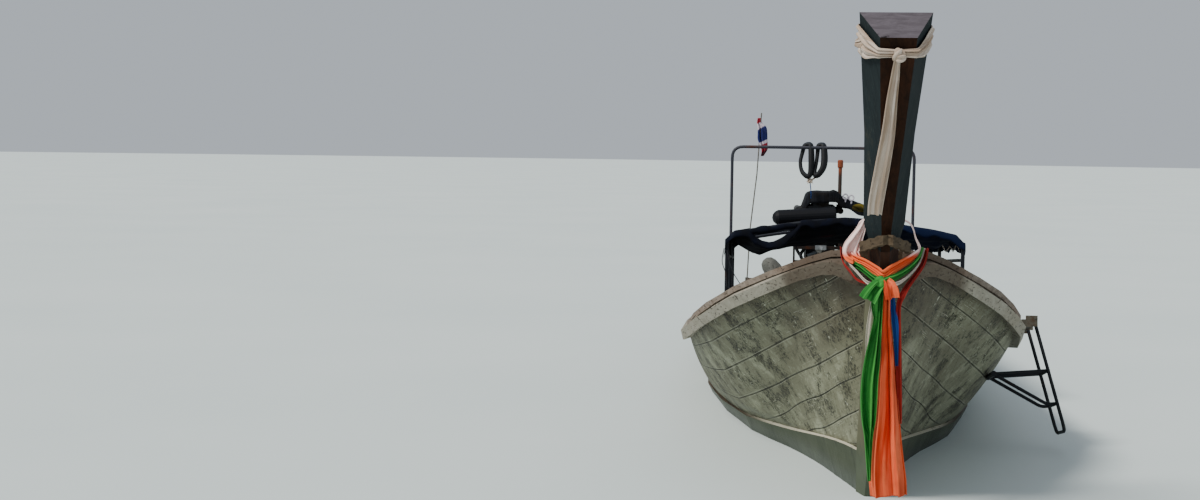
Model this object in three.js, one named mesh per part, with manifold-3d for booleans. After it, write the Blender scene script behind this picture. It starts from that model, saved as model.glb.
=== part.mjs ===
// A wooden longtail boat, afloat: an open planked hull with a tall prow post, a low canopy, a stern hoop,
// and a car-type engine on a swivelling and tilting mount that carries a long propeller shaft.
// Millimetres. +X is port, +Y is aft, +Z is up. The origin is on the waterplane, on the centreline.
// Lengths along the hull are first written as s, aft of the point where the stem meets the water.

import * as THREE from "three";
import { mergeVertices } from "three/addons/utils/BufferGeometryUtils.js";
import Module from "manifold-3d";

const wasm = await Module();
wasm.setup();

// Driving dimensions
const originS = 3500; // the origin lies this far aft of the stem foot
const seat = 0.3; // gap between pieces that touch
const bottomThick = 40;
const sideInset = 18; // the side planks stand this far inside the bottom's outer face
const sideThick = 26;
const capThick = 28;
const capWidth = 76;
const capStart = 0.7; // station
const rubTop = 40; // below the sheer
const rubBottom = 96;
const rubThick = 52;
const ribDepth = 45;
const ribWidth = 50;
const stemDepth = 100;
const keelDepth = 64;
const thwartTop = 230;
const thwartThick = 30;
const thwartWidth = 210;
const thwartPlaces = [2600, 3225, 3850, 4475, 5100]; // s of each bench
const deckTop = 250; // the aft deck
const deckThick = 25;
const floorTop = -120;
const floorThick = 22;
const floorHalf = 386;
const floorEnds = [2250, 5380]; // s
const transomThick = 38;
const stationEnd = 12;

const hoopS = 6200;
const hoopHalf = 731;
const hoopTop = 1538;
const hoopRadius = 13;
const hoopCorner = 90;

const archPlaces = [2600, 3850, 5100]; // s of each canopy arch, on a bench
const canopyHalf = 695;
const canopyDrop = 0.072; // the roof comes down this much for each unit of length aft
const canopyTube = 12.5;
const canopySag = 130;
const sideRailZ = 885; // at the front arch

const pivotS = 7000; // swivel axis of the engine
const axisZ = 740; // tilt axis, engine rails and propeller shaft
const railHalf = 165;
const tailRadius = 32;
const tailEnd = 3120; // propeller end of the tail tube, aft of the swivel axis
const propRadius = 150;

// The hull's lines at 13 bent stations, stem to transom.
// Columns: sheer s, half-breadth, height; chine (top of the bottom strake) s, half-breadth, height;
// keel s, height; fullness of the bilge
const stations = [
  [-415, 62, 1060, 5, 60, 205, 215, -118, 0.6],
  [-345, 172, 1112, 190, 110, 200, 330, -158, 0.6],
  [-200, 262, 1086, 440, 180, 182, 520, -200, 0.6],
  [10, 375, 1030, 800, 268, 140, 850, -228, 0.66],
  [500, 630, 882, 1150, 370, 104, 1180, -248, 0.8],
  [1050, 812, 718, 1640, 560, 80, 1660, -264, 0.9],
  [1750, 905, 575, 2280, 705, 66, 2280, -278, 0.93],
  [2750, 945, 460, 3000, 805, 56, 3000, -288, 0.95],
  [3950, 955, 398, 3950, 835, 52, 3950, -290, 0.95],
  [5050, 905, 368, 5050, 785, 56, 5050, -276, 0.95],
  [6100, 805, 350, 6100, 690, 72, 6100, -240, 0.94],
  [7050, 700, 338, 7050, 595, 98, 7050, -184, 0.92],
  [7900, 598, 332, 7900, 505, 130, 7900, -112, 0.9],
];
const keelHalf = 45;
const sideBulge = 22;

// Materials
const paint = (color, roughness, metalness) =>
  new THREE.MeshStandardMaterial({ color, roughness, metalness });
const materials = {
  plank: paint(0x6b6a5c, 0.85, 0),
  bottomWood: paint(0x3f4f45, 0.8, 0),
  rail: paint(0x9b9384, 0.85, 0),
  capWood: paint(0x76685a, 0.85, 0),
  postPaint: paint(0x26322e, 0.6, 0),
  innerWood: paint(0x4c3d2e, 0.85, 0),
  hoopSteel: paint(0x6f6a64, 0.55, 0.7),
  blackSteel: paint(0x14171a, 0.5, 0.5),
  tarp: paint(0x1b2440, 0.9, 0),
  rubber: paint(0x17171a, 0.8, 0),
  engineIron: paint(0x24272a, 0.55, 0.6),
  blackGloss: paint(0x0d0f12, 0.25, 0.3),
  rustySteel: paint(0x6e4a33, 0.9, 0.4),
  galvanised: paint(0x8b8f90, 0.5, 0.8),
  aluminium: paint(0xa4a6a6, 0.4, 0.9),
  bronze: paint(0x9a7a45, 0.4, 0.9),
  sashCloth: paint(0xd9cdb8, 0.95, 0),
  garlandCloth: paint(0xd4552c, 0.95, 0),
  flagCloth: paint(0xc9c6d2, 0.9, 0),
  staffWood: paint(0x55504a, 0.8, 0),
};

const group = new THREE.Group();

// A closed geometry with merged vertices and its faces pointing out
function closed(positions, index) {
  const raw = new THREE.BufferGeometry();
  raw.setAttribute("position", new THREE.Float32BufferAttribute(positions, 3));
  raw.setIndex(index);
  const g = mergeVertices(raw, 1e-4);
  const p = g.getAttribute("position");
  const ix = g.index.array;
  const [a, b, c] = [new THREE.Vector3(), new THREE.Vector3(), new THREE.Vector3()];
  let volume = 0;
  const kept = [];
  for (let i = 0; i < ix.length; i += 3) {
    if (ix[i] === ix[i + 1] || ix[i + 1] === ix[i + 2] || ix[i] === ix[i + 2]) continue;
    kept.push(ix[i], ix[i + 1], ix[i + 2]);
    a.fromBufferAttribute(p, ix[i]);
    b.fromBufferAttribute(p, ix[i + 1]);
    c.fromBufferAttribute(p, ix[i + 2]);
    volume += a.dot(b.cross(c));
  }
  if (volume < 0) for (let i = 0; i < kept.length; i += 3) [kept[i], kept[i + 1]] = [kept[i + 1], kept[i]];
  g.setIndex(kept);
  g.computeVertexNormals();
  return g;
}

// Any three.js geometry, placed by a matrix, as a merged closed geometry
function plain(geometry, matrix) {
  const g = geometry.clone();
  if (matrix) g.applyMatrix4(matrix);
  const flat = g.index ? g.toNonIndexed() : g;
  const positions = flat.getAttribute("position").array;
  return closed(positions, [...Array(positions.length / 3).keys()]);
}

const solid = (geometry) =>
  new wasm.Manifold(
    new wasm.Mesh({
      numProp: 3,
      vertProperties: new Float32Array(geometry.getAttribute("position").array),
      triVerts: new Uint32Array(geometry.index.array),
    }),
  );

function geometryOf(made) {
  const m = made.getMesh();
  const g = new THREE.BufferGeometry();
  g.setAttribute("position", new THREE.BufferAttribute(new Float32Array(m.vertProperties), 3));
  g.setIndex([...m.triVerts]);
  g.computeVertexNormals();
  return g;
}

const joined = (list) => geometryOf(list.map(solid).reduce((a, b) => a.add(b)));
const cut = (base, tools) => geometryOf(tools.map(solid).reduce((a, b) => a.subtract(b), solid(base)));

// The same, keeping only the largest body that is left
function trimmed(base, tools) {
  const bodies = tools.map(solid).reduce((a, b) => a.subtract(b), solid(base)).decompose();
  return geometryOf(bodies.reduce((a, b) => (b.volume() > a.volume() ? b : a)));
}

function piece(name, geometry, material, parent = group) {
  const mesh = new THREE.Mesh(geometry, material);
  mesh.name = name;
  parent.add(mesh);
  return mesh;
}

const at = (x, s, z) => new THREE.Vector3(x, s - originS, z);

// A box between two corners, the middle one in s
function block(x0, x1, s0, s1, z0, z1) {
  const g = new THREE.BoxGeometry(x1 - x0, s1 - s0, z1 - z0);
  return plain(g, new THREE.Matrix4().setPosition((x0 + x1) / 2, (s0 + s1) / 2 - originS, (z0 + z1) / 2));
}

// Rings of points joined side by side, with flat ends
function loft(rings) {
  const n = rings[0].length;
  const positions = rings.flat().flatMap((p) => [p.x, p.y, p.z]);
  const index = [];
  for (let i = 0; i + 1 < rings.length; i++)
    for (let j = 0; j < n; j++) {
      const [a, b] = [i * n + j, i * n + ((j + 1) % n)];
      index.push(a, b, a + n, b, b + n, a + n);
    }
  const last = (rings.length - 1) * n;
  for (let j = 1; j + 1 < n; j++) index.push(0, j + 1, j, last, last + j, last + j + 1);
  return closed(positions, index);
}

// Two matching grids of points, outer and inner, closed along their four edges
function shell(outer, inner) {
  const [m, n] = [outer.length, outer[0].length];
  const positions = [...outer.flat(), ...inner.flat()].flatMap((p) => [p.x, p.y, p.z]);
  const index = [];
  const at2 = (layer, i, j) => layer * m * n + i * n + j;
  const quad = (a, b, c, d) => index.push(a, b, c, a, c, d);
  for (let i = 0; i + 1 < m; i++)
    for (let j = 0; j + 1 < n; j++) {
      quad(at2(0, i, j), at2(0, i + 1, j), at2(0, i + 1, j + 1), at2(0, i, j + 1));
      quad(at2(1, i, j), at2(1, i, j + 1), at2(1, i + 1, j + 1), at2(1, i + 1, j));
    }
  for (let i = 0; i + 1 < m; i++) {
    quad(at2(0, i, 0), at2(1, i, 0), at2(1, i + 1, 0), at2(0, i + 1, 0));
    quad(at2(0, i, n - 1), at2(0, i + 1, n - 1), at2(1, i + 1, n - 1), at2(1, i, n - 1));
  }
  for (let j = 0; j + 1 < n; j++) {
    quad(at2(0, 0, j), at2(0, 0, j + 1), at2(1, 0, j + 1), at2(1, 0, j));
    quad(at2(0, m - 1, j), at2(1, m - 1, j), at2(1, m - 1, j + 1), at2(0, m - 1, j + 1));
  }
  return closed(positions, index);
}

// A path through given points whose rings stand exactly at them, with corners rounded to a radius
class BentPath extends THREE.Curve {
  constructor(points, corner = 0, steps = 3) {
    super();
    this.list = [];
    points.forEach((p, i) => {
      if (!corner || i === 0 || i === points.length - 1) {
        this.list.push(p.clone());
        return;
      }
      const from = points[i - 1].clone().sub(p);
      const to = points[i + 1].clone().sub(p);
      const r = Math.min(corner, from.length() * 0.49, to.length() * 0.49);
      const start = p.clone().addScaledVector(from.normalize(), r);
      const end = p.clone().addScaledVector(to.normalize(), r);
      const arc = new THREE.QuadraticBezierCurve3(start, p, end);
      for (let k = 0; k <= steps; k++) this.list.push(arc.getPoint(k / steps));
    });
  }
  getPoint(t, target = new THREE.Vector3()) {
    const f = t * (this.list.length - 1);
    const i = Math.min(Math.floor(f + 1e-9), this.list.length - 2);
    return target.lerpVectors(this.list[i], this.list[i + 1], f - i);
  }
  getPointAt(u, target) {
    return this.getPoint(u, target);
  }
  getTangentAt(u, target = new THREE.Vector3()) {
    const f = Math.round(u * (this.list.length - 1));
    const a = this.list[Math.max(f - 1, 0)];
    const b = this.list[Math.min(f + 1, this.list.length - 1)];
    return target.subVectors(b, a).normalize();
  }
}

const circle = (radius, sides) =>
  new THREE.Shape(
    [...Array(sides).keys()].map((k) => {
      const a = (2 * Math.PI * (k + 0.5)) / sides;
      return new THREE.Vector2(radius * Math.cos(a), radius * Math.sin(a));
    }),
  );

function tube(points, radius, { corner = 0, sides = 8, steps = 3 } = {}) {
  const path = new BentPath(points, corner, steps);
  const g = new THREE.ExtrudeGeometry(circle(radius, sides), {
    steps: path.list.length - 1,
    extrudePath: path,
    bevelEnabled: false,
  });
  return plain(g);
}

// A round bar along X, Y or Z
function bar(axis, center, radius, length, sides = 16) {
  const turn = { x: [0, 0, Math.PI / 2], y: [0, 0, 0], z: [Math.PI / 2, 0, 0] }[axis];
  const m = new THREE.Matrix4().makeRotationFromEuler(new THREE.Euler(...turn));
  return plain(new THREE.CylinderGeometry(radius, radius, length, sides), m.setPosition(center));
}

// Hull lines: u runs along the stations, v from the keel (0) by the chine (1) to the sheer (2)
const spline = (a, b, c, d, t) =>
  0.5 * (2 * b + (c - a) * t + (2 * a - 5 * b + 4 * c - d) * t * t + (3 * b - a - 3 * c + d) * t * t * t);

function station(u) {
  const i = Math.min(Math.max(Math.floor(u), 0), stations.length - 2);
  const row = (k) => stations[Math.min(Math.max(k, 0), stations.length - 1)];
  return stations[0].map((_, c) => {
    const [b, d] = [row(i)[c], row(i + 1)[c]];
    const a = i === 0 ? 2 * b - d : row(i - 1)[c];
    const e = i === stations.length - 2 ? 2 * d - b : row(i + 2)[c];
    return spline(a, b, d, e, u - i);
  });
}

const bend = (a, b, c, t) => a * (1 - t) * (1 - t) + 2 * b * t * (1 - t) + c * t * t;
const mix = (a, b, t) => a + (b - a) * t;

function hull(u, v) {
  const [sheerS, sheerB, sheerZ, chineS, chineB, chineZ, keelS, keelZ, full] = station(u);
  if (v <= 1) {
    const turn = [Math.max(chineB * full, keelHalf), (keelS + chineS) / 2, mix(keelZ, chineZ, 0.22)];
    const [x, s] = [bend(keelHalf, turn[0], chineB, v), bend(keelS, turn[1], chineS, v)];
    return at(x, s, bend(keelZ, turn[2], chineZ, v));
  }
  const t = v - 1;
  const [db, dz] = [sheerB - chineB, sheerZ - chineZ];
  const bulge = (sideBulge * Math.min(u, 3)) / 3;
  const chord = Math.hypot(db, dz);
  const push = (2 * bulge) / chord;
  const mid = [(chineB + sheerB) / 2 + push * dz, (chineZ + sheerZ) / 2 - push * db];
  return at(bend(chineB, mid[0], sheerB, t), mix(chineS, sheerS, t), bend(chineZ, mid[1], sheerZ, t));
}

// Outward normal of the hull's moulded surface; the first and last stations keep square edges
function hullNormal(u, v) {
  const eps = 1e-3;
  const side = (v0, v1) => {
    const along = hull(Math.min(u + eps, stationEnd), v).sub(hull(Math.max(u - eps, 0), v));
    const up = hull(u, v1).sub(hull(u, v0));
    const n = up.cross(along).normalize();
    if (n.x < 0 && v > 0.5) n.negate();
    if (n.z > 0 && v <= 0.5) n.negate();
    return n;
  };
  let n;
  if (Math.abs(v - 1) < 1e-6) n = side(1 - eps, 1 - eps / 2).add(side(1 + eps / 2, 1 + eps)).normalize();
  else if (v < 1) n = side(Math.max(v - eps, 0), v + eps);
  else n = side(v - eps, Math.min(v + eps, 2));
  if (u < 1e-6) {
    const rabbet = new THREE.Vector3(0, -0.75, -0.66);
    n.lerpVectors(rabbet, new THREE.Vector3(1, 0, 0), Math.min(v / 0.5, 1));
  } else if (u > stationEnd - 1e-6) n.y = 0;
  return n.normalize();
}

const skin = (u, v, offset) => hull(u, v).addScaledVector(hullNormal(u, v), offset);
const mirror = (p) => new THREE.Vector3(-p.x, p.y, p.z);
const sideLength = (u) => hull(u, 1).distanceTo(hull(u, 2));
const below = (u, d) => 2 - d / sideLength(u); // v at a distance under the sheer
const steps = (a, b, n) => [...Array(n + 1).keys()].map((k) => mix(a, b, k / n));
const flip = (g) => {
  const p = g.getAttribute("position").array.slice();
  for (let i = 0; i < p.length; i += 3) p[i] = -p[i];
  return closed(p, [...g.index.array]);
};

const along = [0, 0.35, 0.7, 1, 1.5, 2, 2.5, 3, 3.5, 4, 4.5, 5, 6, 7, 8, 9, 10, 11, 12];

// Station parameter at a given s for a fixed v, and half-breadth at a given s and height
function stationAt(s, v) {
  let [lo, hi] = [0, stationEnd];
  for (let k = 0; k < 30; k++) {
    const m = (lo + hi) / 2;
    if (hull(m, v).y + originS < s) lo = m;
    else hi = m;
  }
  return (lo + hi) / 2;
}

function halfBreadth(s, z, offset) {
  let [lo, hi] = [0.02, 1.999];
  let p;
  for (let k = 0; k < 30; k++) {
    const v = (lo + hi) / 2;
    const u = stationAt(s, v);
    p = skin(u, v, offset);
    if (p.z < z) lo = v;
    else hi = v;
  }
  return p.x;
}

// Hull planking. A grown copy of each serves to trim whatever seats against it
const chineEdge = (u, offset, lift) => {
  const up = hull(u, 1.01).sub(hull(u, 1)).normalize();
  return skin(u, 1, offset).addScaledVector(up, lift);
};

function makeBottom(grow = 0) {
  const vs = [0.74, 0.44, 0];
  const row = (u, offset) => {
    const port = [chineEdge(u, offset, grow), ...vs.map((v) => skin(u, v, offset))];
    return [...port.map(mirror), ...port.reverse()];
  };
  return shell(along.map((u) => row(u, grow)), along.map((u) => row(u, -bottomThick - grow)));
}

// v at which a surface inside the hull's outer one reaches a height
function climb(u, z, offset) {
  let [lo, hi] = [1, 2];
  for (let k = 0; k < 26; k++) {
    const v = (lo + hi) / 2;
    if (skin(u, v, offset).z < z) lo = v;
    else hi = v;
  }
  return (lo + hi) / 2;
}

function makeSideBlank(grow = 0) {
  const rows = (offset) =>
    along.map((u) => {
      const top = climb(u, hull(u, 2).z - (u < capStart ? 0 : capThick / 2), offset);
      const rest = steps(1, top, 3).slice(1);
      return [chineEdge(u, offset, 0.75 - grow), ...rest.map((v) => skin(u, v, offset))];
    });
  return shell(rows(-sideInset + grow), rows(-sideInset - sideThick - grow));
}

// A board on top of the planks, level across, that starts where the two sides are far enough apart
function makeCap(grow = 0) {
  const rings = along
    .filter((u) => u >= capStart)
    .map((u) => {
      const [a, b] = [hull(Math.max(u - 0.05, 0), 2), hull(Math.min(u + 0.05, stationEnd), 2)];
      const run = b.clone().sub(a).setZ(0).normalize();
      if (u === stationEnd) run.set(0, 1, 0);
      const out = new THREE.Vector3(run.y, -run.x, 0);
      const p = hull(u, 2);
      if (u === capStart) p.addScaledVector(run, -grow);
      if (u === stationEnd) p.addScaledVector(run, grow);
      const edge = p.clone().addScaledVector(out, -sideInset + 4 + grow);
      const inner = p.clone().addScaledVector(out, -sideInset + 4 - capWidth - grow);
      const low = new THREE.Vector3(0, 0, -capThick - grow);
      const high = new THREE.Vector3(0, 0, grow);
      const corners = [[edge, high], [inner, high], [inner, low], [edge, low]];
      return corners.map(([p, lift]) => p.clone().add(lift));
    });
  return loft(rings);
}

const makeSide = () => trimmed(makeSideBlank(), [makeBottom(seat), makeCap(seat)]);

function makeRub(grow = 0) {
  const rows = (offset) =>
    along.map((u) => {
      const drop = (d) => below(u, d * (sideLength(u) / (hull(u, 2).z - hull(u, 1).z)));
      return [drop(rubBottom + grow), drop(rubTop - grow)].map((v) => skin(u, v, offset));
    });
  const board = shell(rows(-sideInset + rubThick + grow), rows(-sideInset - 8));
  return trimmed(board, [makeSideBlank(seat), makeCap(seat)]);
}

// Trims a piece that stands inside the hull to the planking and the caps, less a small gap
let wallCutter;
function seatInHull(geometry) {
  if (!wallCutter) {
    const [side, cap] = [makeSideBlank(seat), makeCap(seat)];
    wallCutter = joined([makeBottom(seat), side, flip(side), cap, flip(cap)]);
  }
  return trimmed(geometry, [wallCutter]);
}

// Stem and keel: a bar outside the planking's front and centre line, narrow at its outer edge
const stemRabbet = [2.12, 2, 1.66, 1.33, 1, 0.75, 0.5, 0.25, 0.001];

function rabbetPoints() {
  const stem = stemRabbet.map((v) => {
    if (v <= 2) return hull(0, v);
    const [top, under] = [hull(0, 2), hull(0, 1)];
    return top.clone().lerp(under, 2 - v);
  });
  const keel = along.slice(1).map((u) => hull(u, 0));
  return [...stem, ...keel].map((p) => new THREE.Vector2(p.y, p.z));
}

function makeBackbone(grow = 0) {
  const line = rabbetPoints();
  const rings = line.map((p, i) => {
    const dir = line[Math.min(i + 1, line.length - 1)].clone().sub(line[Math.max(i - 1, 0)]).normalize();
    const out = new THREE.Vector2(dir.y, -dir.x);
    if (out.x > 0.05 || out.y > 0.05) out.negate();
    if (i === line.length - 1) out.set(0, -1);
    const share = Math.min(Math.max((i - 4) / 5, 0), 1);
    const wide = mix(62, keelHalf - 3, share) + grow;
    const thin = mix(18, 32, share) + grow;
    const depth = mix(stemDepth, keelDepth, share) + grow;
    const near = p.clone().addScaledVector(out, seat);
    const far = p.clone().addScaledVector(out, depth);
    return [
      new THREE.Vector3(-wide, near.x, near.y),
      new THREE.Vector3(wide, near.x, near.y),
      new THREE.Vector3(thin, far.x, far.y),
      new THREE.Vector3(-thin, far.x, far.y),
    ];
  });
  const ahead = makeBottom(seat).translate(0, -3 * seat, 0);
  return { geometry: trimmed(loft(rings), [makeBottom(seat), ahead, flip(ahead)]), top: rings[0] };
}

// Prow post: columns are back s, back height, back width, front s, front height, front width
const postRows = [
  [-450, 1235, 168, -578, 1200, 38],
  [-612, 1600, 200, -752, 1568, 88],
  [-800, 2062, 282, -945, 1955, 140],
];

function makePost(stemTop) {
  const axis = new THREE.Vector3(0, -420, 870).normalize();
  const foot = stemTop.map((p) => p.clone().addScaledVector(axis, 2 * seat));
  const rings = postRows.map(([bs, bz, bw, fs, fz, fw]) => [
    at(-bw / 2, bs, bz),
    at(bw / 2, bs, bz),
    at(fw / 2, fs, fz),
    at(-fw / 2, fs, fz),
  ]);
  return loft([foot, ...rings]);
}

function makeTransom() {
  const vs = [0, 0.3, 0.6, 0.85, 1];
  const low = vs.map((v) => skin(stationEnd, v, 0));
  const high = [1.02, 1.5, below(stationEnd, capThick)].map((v) => skin(stationEnd, v, -sideInset));
  const port = [...low, ...high].map((p) => new THREE.Vector2(p.x, p.z));
  const top = port[port.length - 1];
  const dip = [new THREE.Vector2(top.x * 0.72, top.y), new THREE.Vector2(top.x * 0.6, top.y - 45)];
  const half = [...port, ...dip];
  const outline = [...half, ...half.slice().reverse().map((p) => new THREE.Vector2(-p.x, p.y))];
  const shape = new THREE.Shape(outline);
  const g = new THREE.ExtrudeGeometry(shape, { depth: transomThick, bevelEnabled: false });
  const turn = new THREE.Matrix4().makeRotationX(Math.PI / 2);
  return plain(g, turn.setPosition(0, stations[stationEnd][0] - originS + seat + transomThick, 0));
}

// Ribs across the hull, the keelson in three lengths and the risers that carry the benches
const keelsonEnds = [1400, 3850, 5900, 8000];

function makeFraming() {
  const places = [1850, 2910, 3540, 4160, 4790, 5600, 6200, 6800, 7700];
  const ribs = places.map((s) => {
    const u = stationAt(s, 1.5);
    const du = (ribWidth / 2) * (0.02 / (hull(u + 0.01, 1.5).y - hull(u - 0.01, 1.5).y));
    const vs = [0, 0.5, 0.8, 1, below(u, 6)];
    const row = (w, offset) => {
      const port = vs.map((v) => skin(w, v, offset));
      return [...port.slice().reverse().map(mirror), ...port];
    };
    const deep = -sideInset - sideThick;
    const [near, far] = [deep + 14, deep - ribDepth];
    return shell([row(u - du, near), row(u + du, near)], [row(u - du, far), row(u + du, far)]);
  });
  const spans = steps(1845, 7745, 7);
  const riser = (sign) =>
    loft(
      spans.map((s) => {
        const x = halfBreadth(s, thwartTop - thwartThick - 30, -sideInset - sideThick - ribDepth);
        const [z0, z1] = [thwartTop - thwartThick - 60, thwartTop - thwartThick - seat];
        return [
          at(sign * (x + 6), s, z0),
          at(sign * (x - 70), s, z0),
          at(sign * (x - 70), s, z1),
          at(sign * (x + 6), s, z1),
        ];
      }),
    );
  const keelson = loft(
    spans.map((s) => {
      const z = hull(stationAt(s, 0.01), 0).z + bottomThick;
      return [at(-45, s, z + 12), at(45, s, z + 12), at(45, s, z + 60), at(-45, s, z + 60)];
    }),
  );
  const [x, [s0, s1]] = [floorHalf + 3, floorEnds];
  const floor = block(-x, x, s0 - 3, s1 + 3, floorTop - floorThick - seat, 0);
  const whole = cut(seatInHull(joined([...ribs, keelson, riser(1), riser(-1)])), [floor]);
  const slab = (low, high) =>
    loft(
      steps(1450, 8000, 12).map((s) => {
        const z = s > 7200 ? 700 : Math.min(hull(stationAt(s, 1), 1).z + 95, 135);
        const [z0, z1] = [low ?? z, high ?? z + seat];
        return [at(-1200, s, z0), at(1200, s, z0), at(1200, s, z1), at(-1200, s, z1)];
      }),
    );
  const [upper, lower] = [slab(null, 900), slab(-900, null)];
  const half = (sign) => block(Math.min(0, sign * 1200), Math.max(0, sign * 1200), 1400, 8000, -600, 900);
  const [port, starboard] = [-1, 1].map((sign) => cut(whole, [lower, half(sign)]));
  const floors = [0, 1, 2].map((i) => {
    const before = block(-1200, 1200, keelsonEnds[0] - 1, keelsonEnds[i] + seat / 2, -600, 900);
    const after = block(-1200, 1200, keelsonEnds[i + 1] - seat / 2, keelsonEnds[3] + 1, -600, 900);
    return cut(whole, [upper, before, after]);
  });
  return { floors, port, starboard };
}

// A board with level faces whose ends run to a line inside the hull
function crossBoard(s0, s1, z0, z1, offset, trim = 0) {
  const ring = (s) => {
    const [low, high] = [halfBreadth(s, z0, offset) - trim, halfBreadth(s, z1, offset) - trim];
    return [at(-low, s, z0), at(low, s, z0), at(high, s, z1), at(-high, s, z1)];
  };
  return loft(steps(s0, s1, Math.max(1, Math.round((s1 - s0) / 330))).map(ring));
}

// The foredeck slopes with the sheer, on two beams that reach the planking
const foreDeckZ = (s) => 760 - 0.26 * s;
function makeForedeck() {
  const inner = -sideInset - sideThick;
  const plate = loft(
    steps(40, 1480, 5).map((s) => {
      const z = foreDeckZ(s);
      const x = halfBreadth(s, z, inner + 12);
      return [at(-x, s, z - deckThick), at(x, s, z - deckThick), at(x, s, z), at(-x, s, z)];
    }),
  );
  const beams = [500, 1380].map((s) => {
    const z = foreDeckZ(s) - deckThick + 3;
    return crossBoard(s - 30, s + 30, z - 70, z, inner + 12);
  });
  return seatInHull(joined([plate, ...beams]));
}

function makeAftDeck() {
  const rib = -sideInset - sideThick - ribDepth;
  const plate = crossBoard(6480, 7880, deckTop - deckThick, deckTop, rib, 30);
  const beams = [6560, 7000, 7440, 7800].map((s) => {
    const x = halfBreadth(s, thwartTop, rib) - 32;
    return block(-x, x, s - 25, s + 25, thwartTop - thwartThick, deckTop - deckThick + 3);
  });
  return joined([plate, ...beams]);
}

// Floor boards tied by cleats under them
function makeFloor() {
  const boards = steps(-2, 2, 4).map((k) => {
    const x = k * 156;
    return block(x - 74, x + 74, ...floorEnds, floorTop - floorThick, floorTop);
  });
  const cleats = [2600, 3380, 4320, 5100].map((s) =>
    block(-floorHalf + 26, floorHalf - 26, s - 25, s + 25, floorTop - floorThick - 16, floorTop - 5),
  );
  return joined([...boards, ...cleats]);
}

// Crossed timbers behind the post, between the two sides
function makeBowBeam() {
  const rows = [
    [-1, 1052],
    [-0.4, 1096],
    [0, 1112],
    [0.4, 1096],
    [1, 1052],
  ];
  const s = -95;
  const beam = loft(
    rows.map(([k, z]) => {
      const x = k * halfBreadth(s, 1030, -sideInset - sideThick + 16);
      return [at(x, s - 38, z - 84), at(x, s + 38, z - 84), at(x, s + 38, z), at(x, s - 38, z)];
    }),
  );
  return seatInHull(beam);
}

function makeMooringPost() {
  const foot = at(-215, 300, foreDeckZ(300));
  const head = at(-468, 345, 1006);
  const dir = head.clone().sub(foot).normalize();
  const sides = 14;
  const side = new THREE.Vector3(0, 1, 0).cross(dir).normalize();
  const other = dir.clone().cross(side);
  const ring = (p, r) =>
    [...Array(sides).keys()].map((k) => {
      const a = (2 * Math.PI * k) / sides;
      return p.clone().addScaledVector(side, r * Math.cos(a)).addScaledVector(other, r * Math.sin(a));
    });
  const rows = [
    [-0.1, 40],
    [0.9, 42],
    [0.97, 38],
    [1.02, 28],
    [1.045, 12],
  ];
  const deck = loft(
    [150, 450].map((s) => {
      const z = foreDeckZ(s) + seat;
      return [at(-420, s, z - 90), at(0, s, z - 90), at(0, s, z), at(-420, s, z)];
    }),
  );
  return seatInHull(cut(loft(rows.map(([t, r]) => ring(foot.clone().lerp(head, t), r))), [deck]));
}

// Stern hoop with a foot plate on each gunwale cap
function makeHoop() {
  const z = hull(stationAt(hoopS, 2), 2).z;
  const path = [
    at(-hoopHalf, hoopS, z + 6),
    at(-hoopHalf, hoopS, hoopTop),
    at(hoopHalf, hoopS, hoopTop),
    at(hoopHalf, hoopS, z + 6),
  ];
  const frame = tube(path, hoopRadius, { corner: hoopCorner, sides: 12, steps: 6 });
  const foot = (x) => block(x - 34, x + 34, hoopS - 45, hoopS + 45, z + 1.2, z + 9);
  const feet = [foot(-hoopHalf), foot(hoopHalf)];
  return joined([frame, ...feet]);
}

// Rubber strips over the hoop's bar, tied together with a cord that hangs below
function makeSling() {
  const knot = at(-112, hoopS - 2, 1262);
  const reach = hoopRadius + 4.5;
  const strip = (x, side) =>
    tube(
      [
        knot,
        at(mix(-112, x, 0.85), hoopS + side * (reach + 5), hoopTop - 60),
        at(x, hoopS + side * (reach + 3), hoopTop),
        at(x, hoopS + side * 14, hoopTop + reach),
        at(x, hoopS, hoopTop + reach + 1),
      ],
      5.5,
      { sides: 6 },
    );
  const strips = [-160, -20].flatMap((x) => [strip(x, 1), strip(x, -1)]);
  const knotBall = plain(new THREE.SphereGeometry(19, 10, 8), new THREE.Matrix4().setPosition(knot));
  const cord = tube([knot, at(-114, hoopS, 1190), at(-110, hoopS, 1125)], 5, { sides: 6 });
  const ends = [at(-400, hoopS, hoopTop), at(400, hoopS, hoopTop)];
  const hoopBar = tube(ends, hoopRadius + seat, { sides: 12 });
  return trimmed(joined([knotBall, ...strips, cord]), [hoopBar]);
}

// Canopy: arches that stand on the benches, tied by a low tube along each side.
// Columns: share of the half width, height of the front arch there
const archRows = [
  [-1, 976],
  [-0.94, 1019],
  [-0.81, 1038],
  [-0.55, 1069],
  [-0.3, 1095],
  [0, 1112],
  [0.3, 1095],
  [0.55, 1069],
  [0.81, 1038],
  [0.94, 1019],
  [1, 976],
];

function makeCanopyFrame() {
  const fall = (s) => canopyDrop * (s - archPlaces[0]);
  const arches = archPlaces.map((s) => {
    const roof = archRows.map(([k, z]) => at(k * canopyHalf, s, z - fall(s)));
    return tube([at(-canopyHalf, s, thwartTop + 4), ...roof, at(canopyHalf, s, thwartTop + 4)], canopyTube);
  });
  const foot = (x, s) => block(x - 30, x + 30, s - 30, s + 30, thwartTop + seat, thwartTop + 7);
  const feet = archPlaces.flatMap((s) => [foot(-canopyHalf, s), foot(canopyHalf, s)]);
  const [first, last] = [archPlaces[0], archPlaces[archPlaces.length - 1]];
  const rails = [-1, 1].map((k) => {
    const x = k * canopyHalf;
    return tube([at(x, first, sideRailZ), at(x, last, sideRailZ - fall(last))], canopyTube - 2);
  });
  return joined([...arches, ...feet, ...rails]);
}

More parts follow.
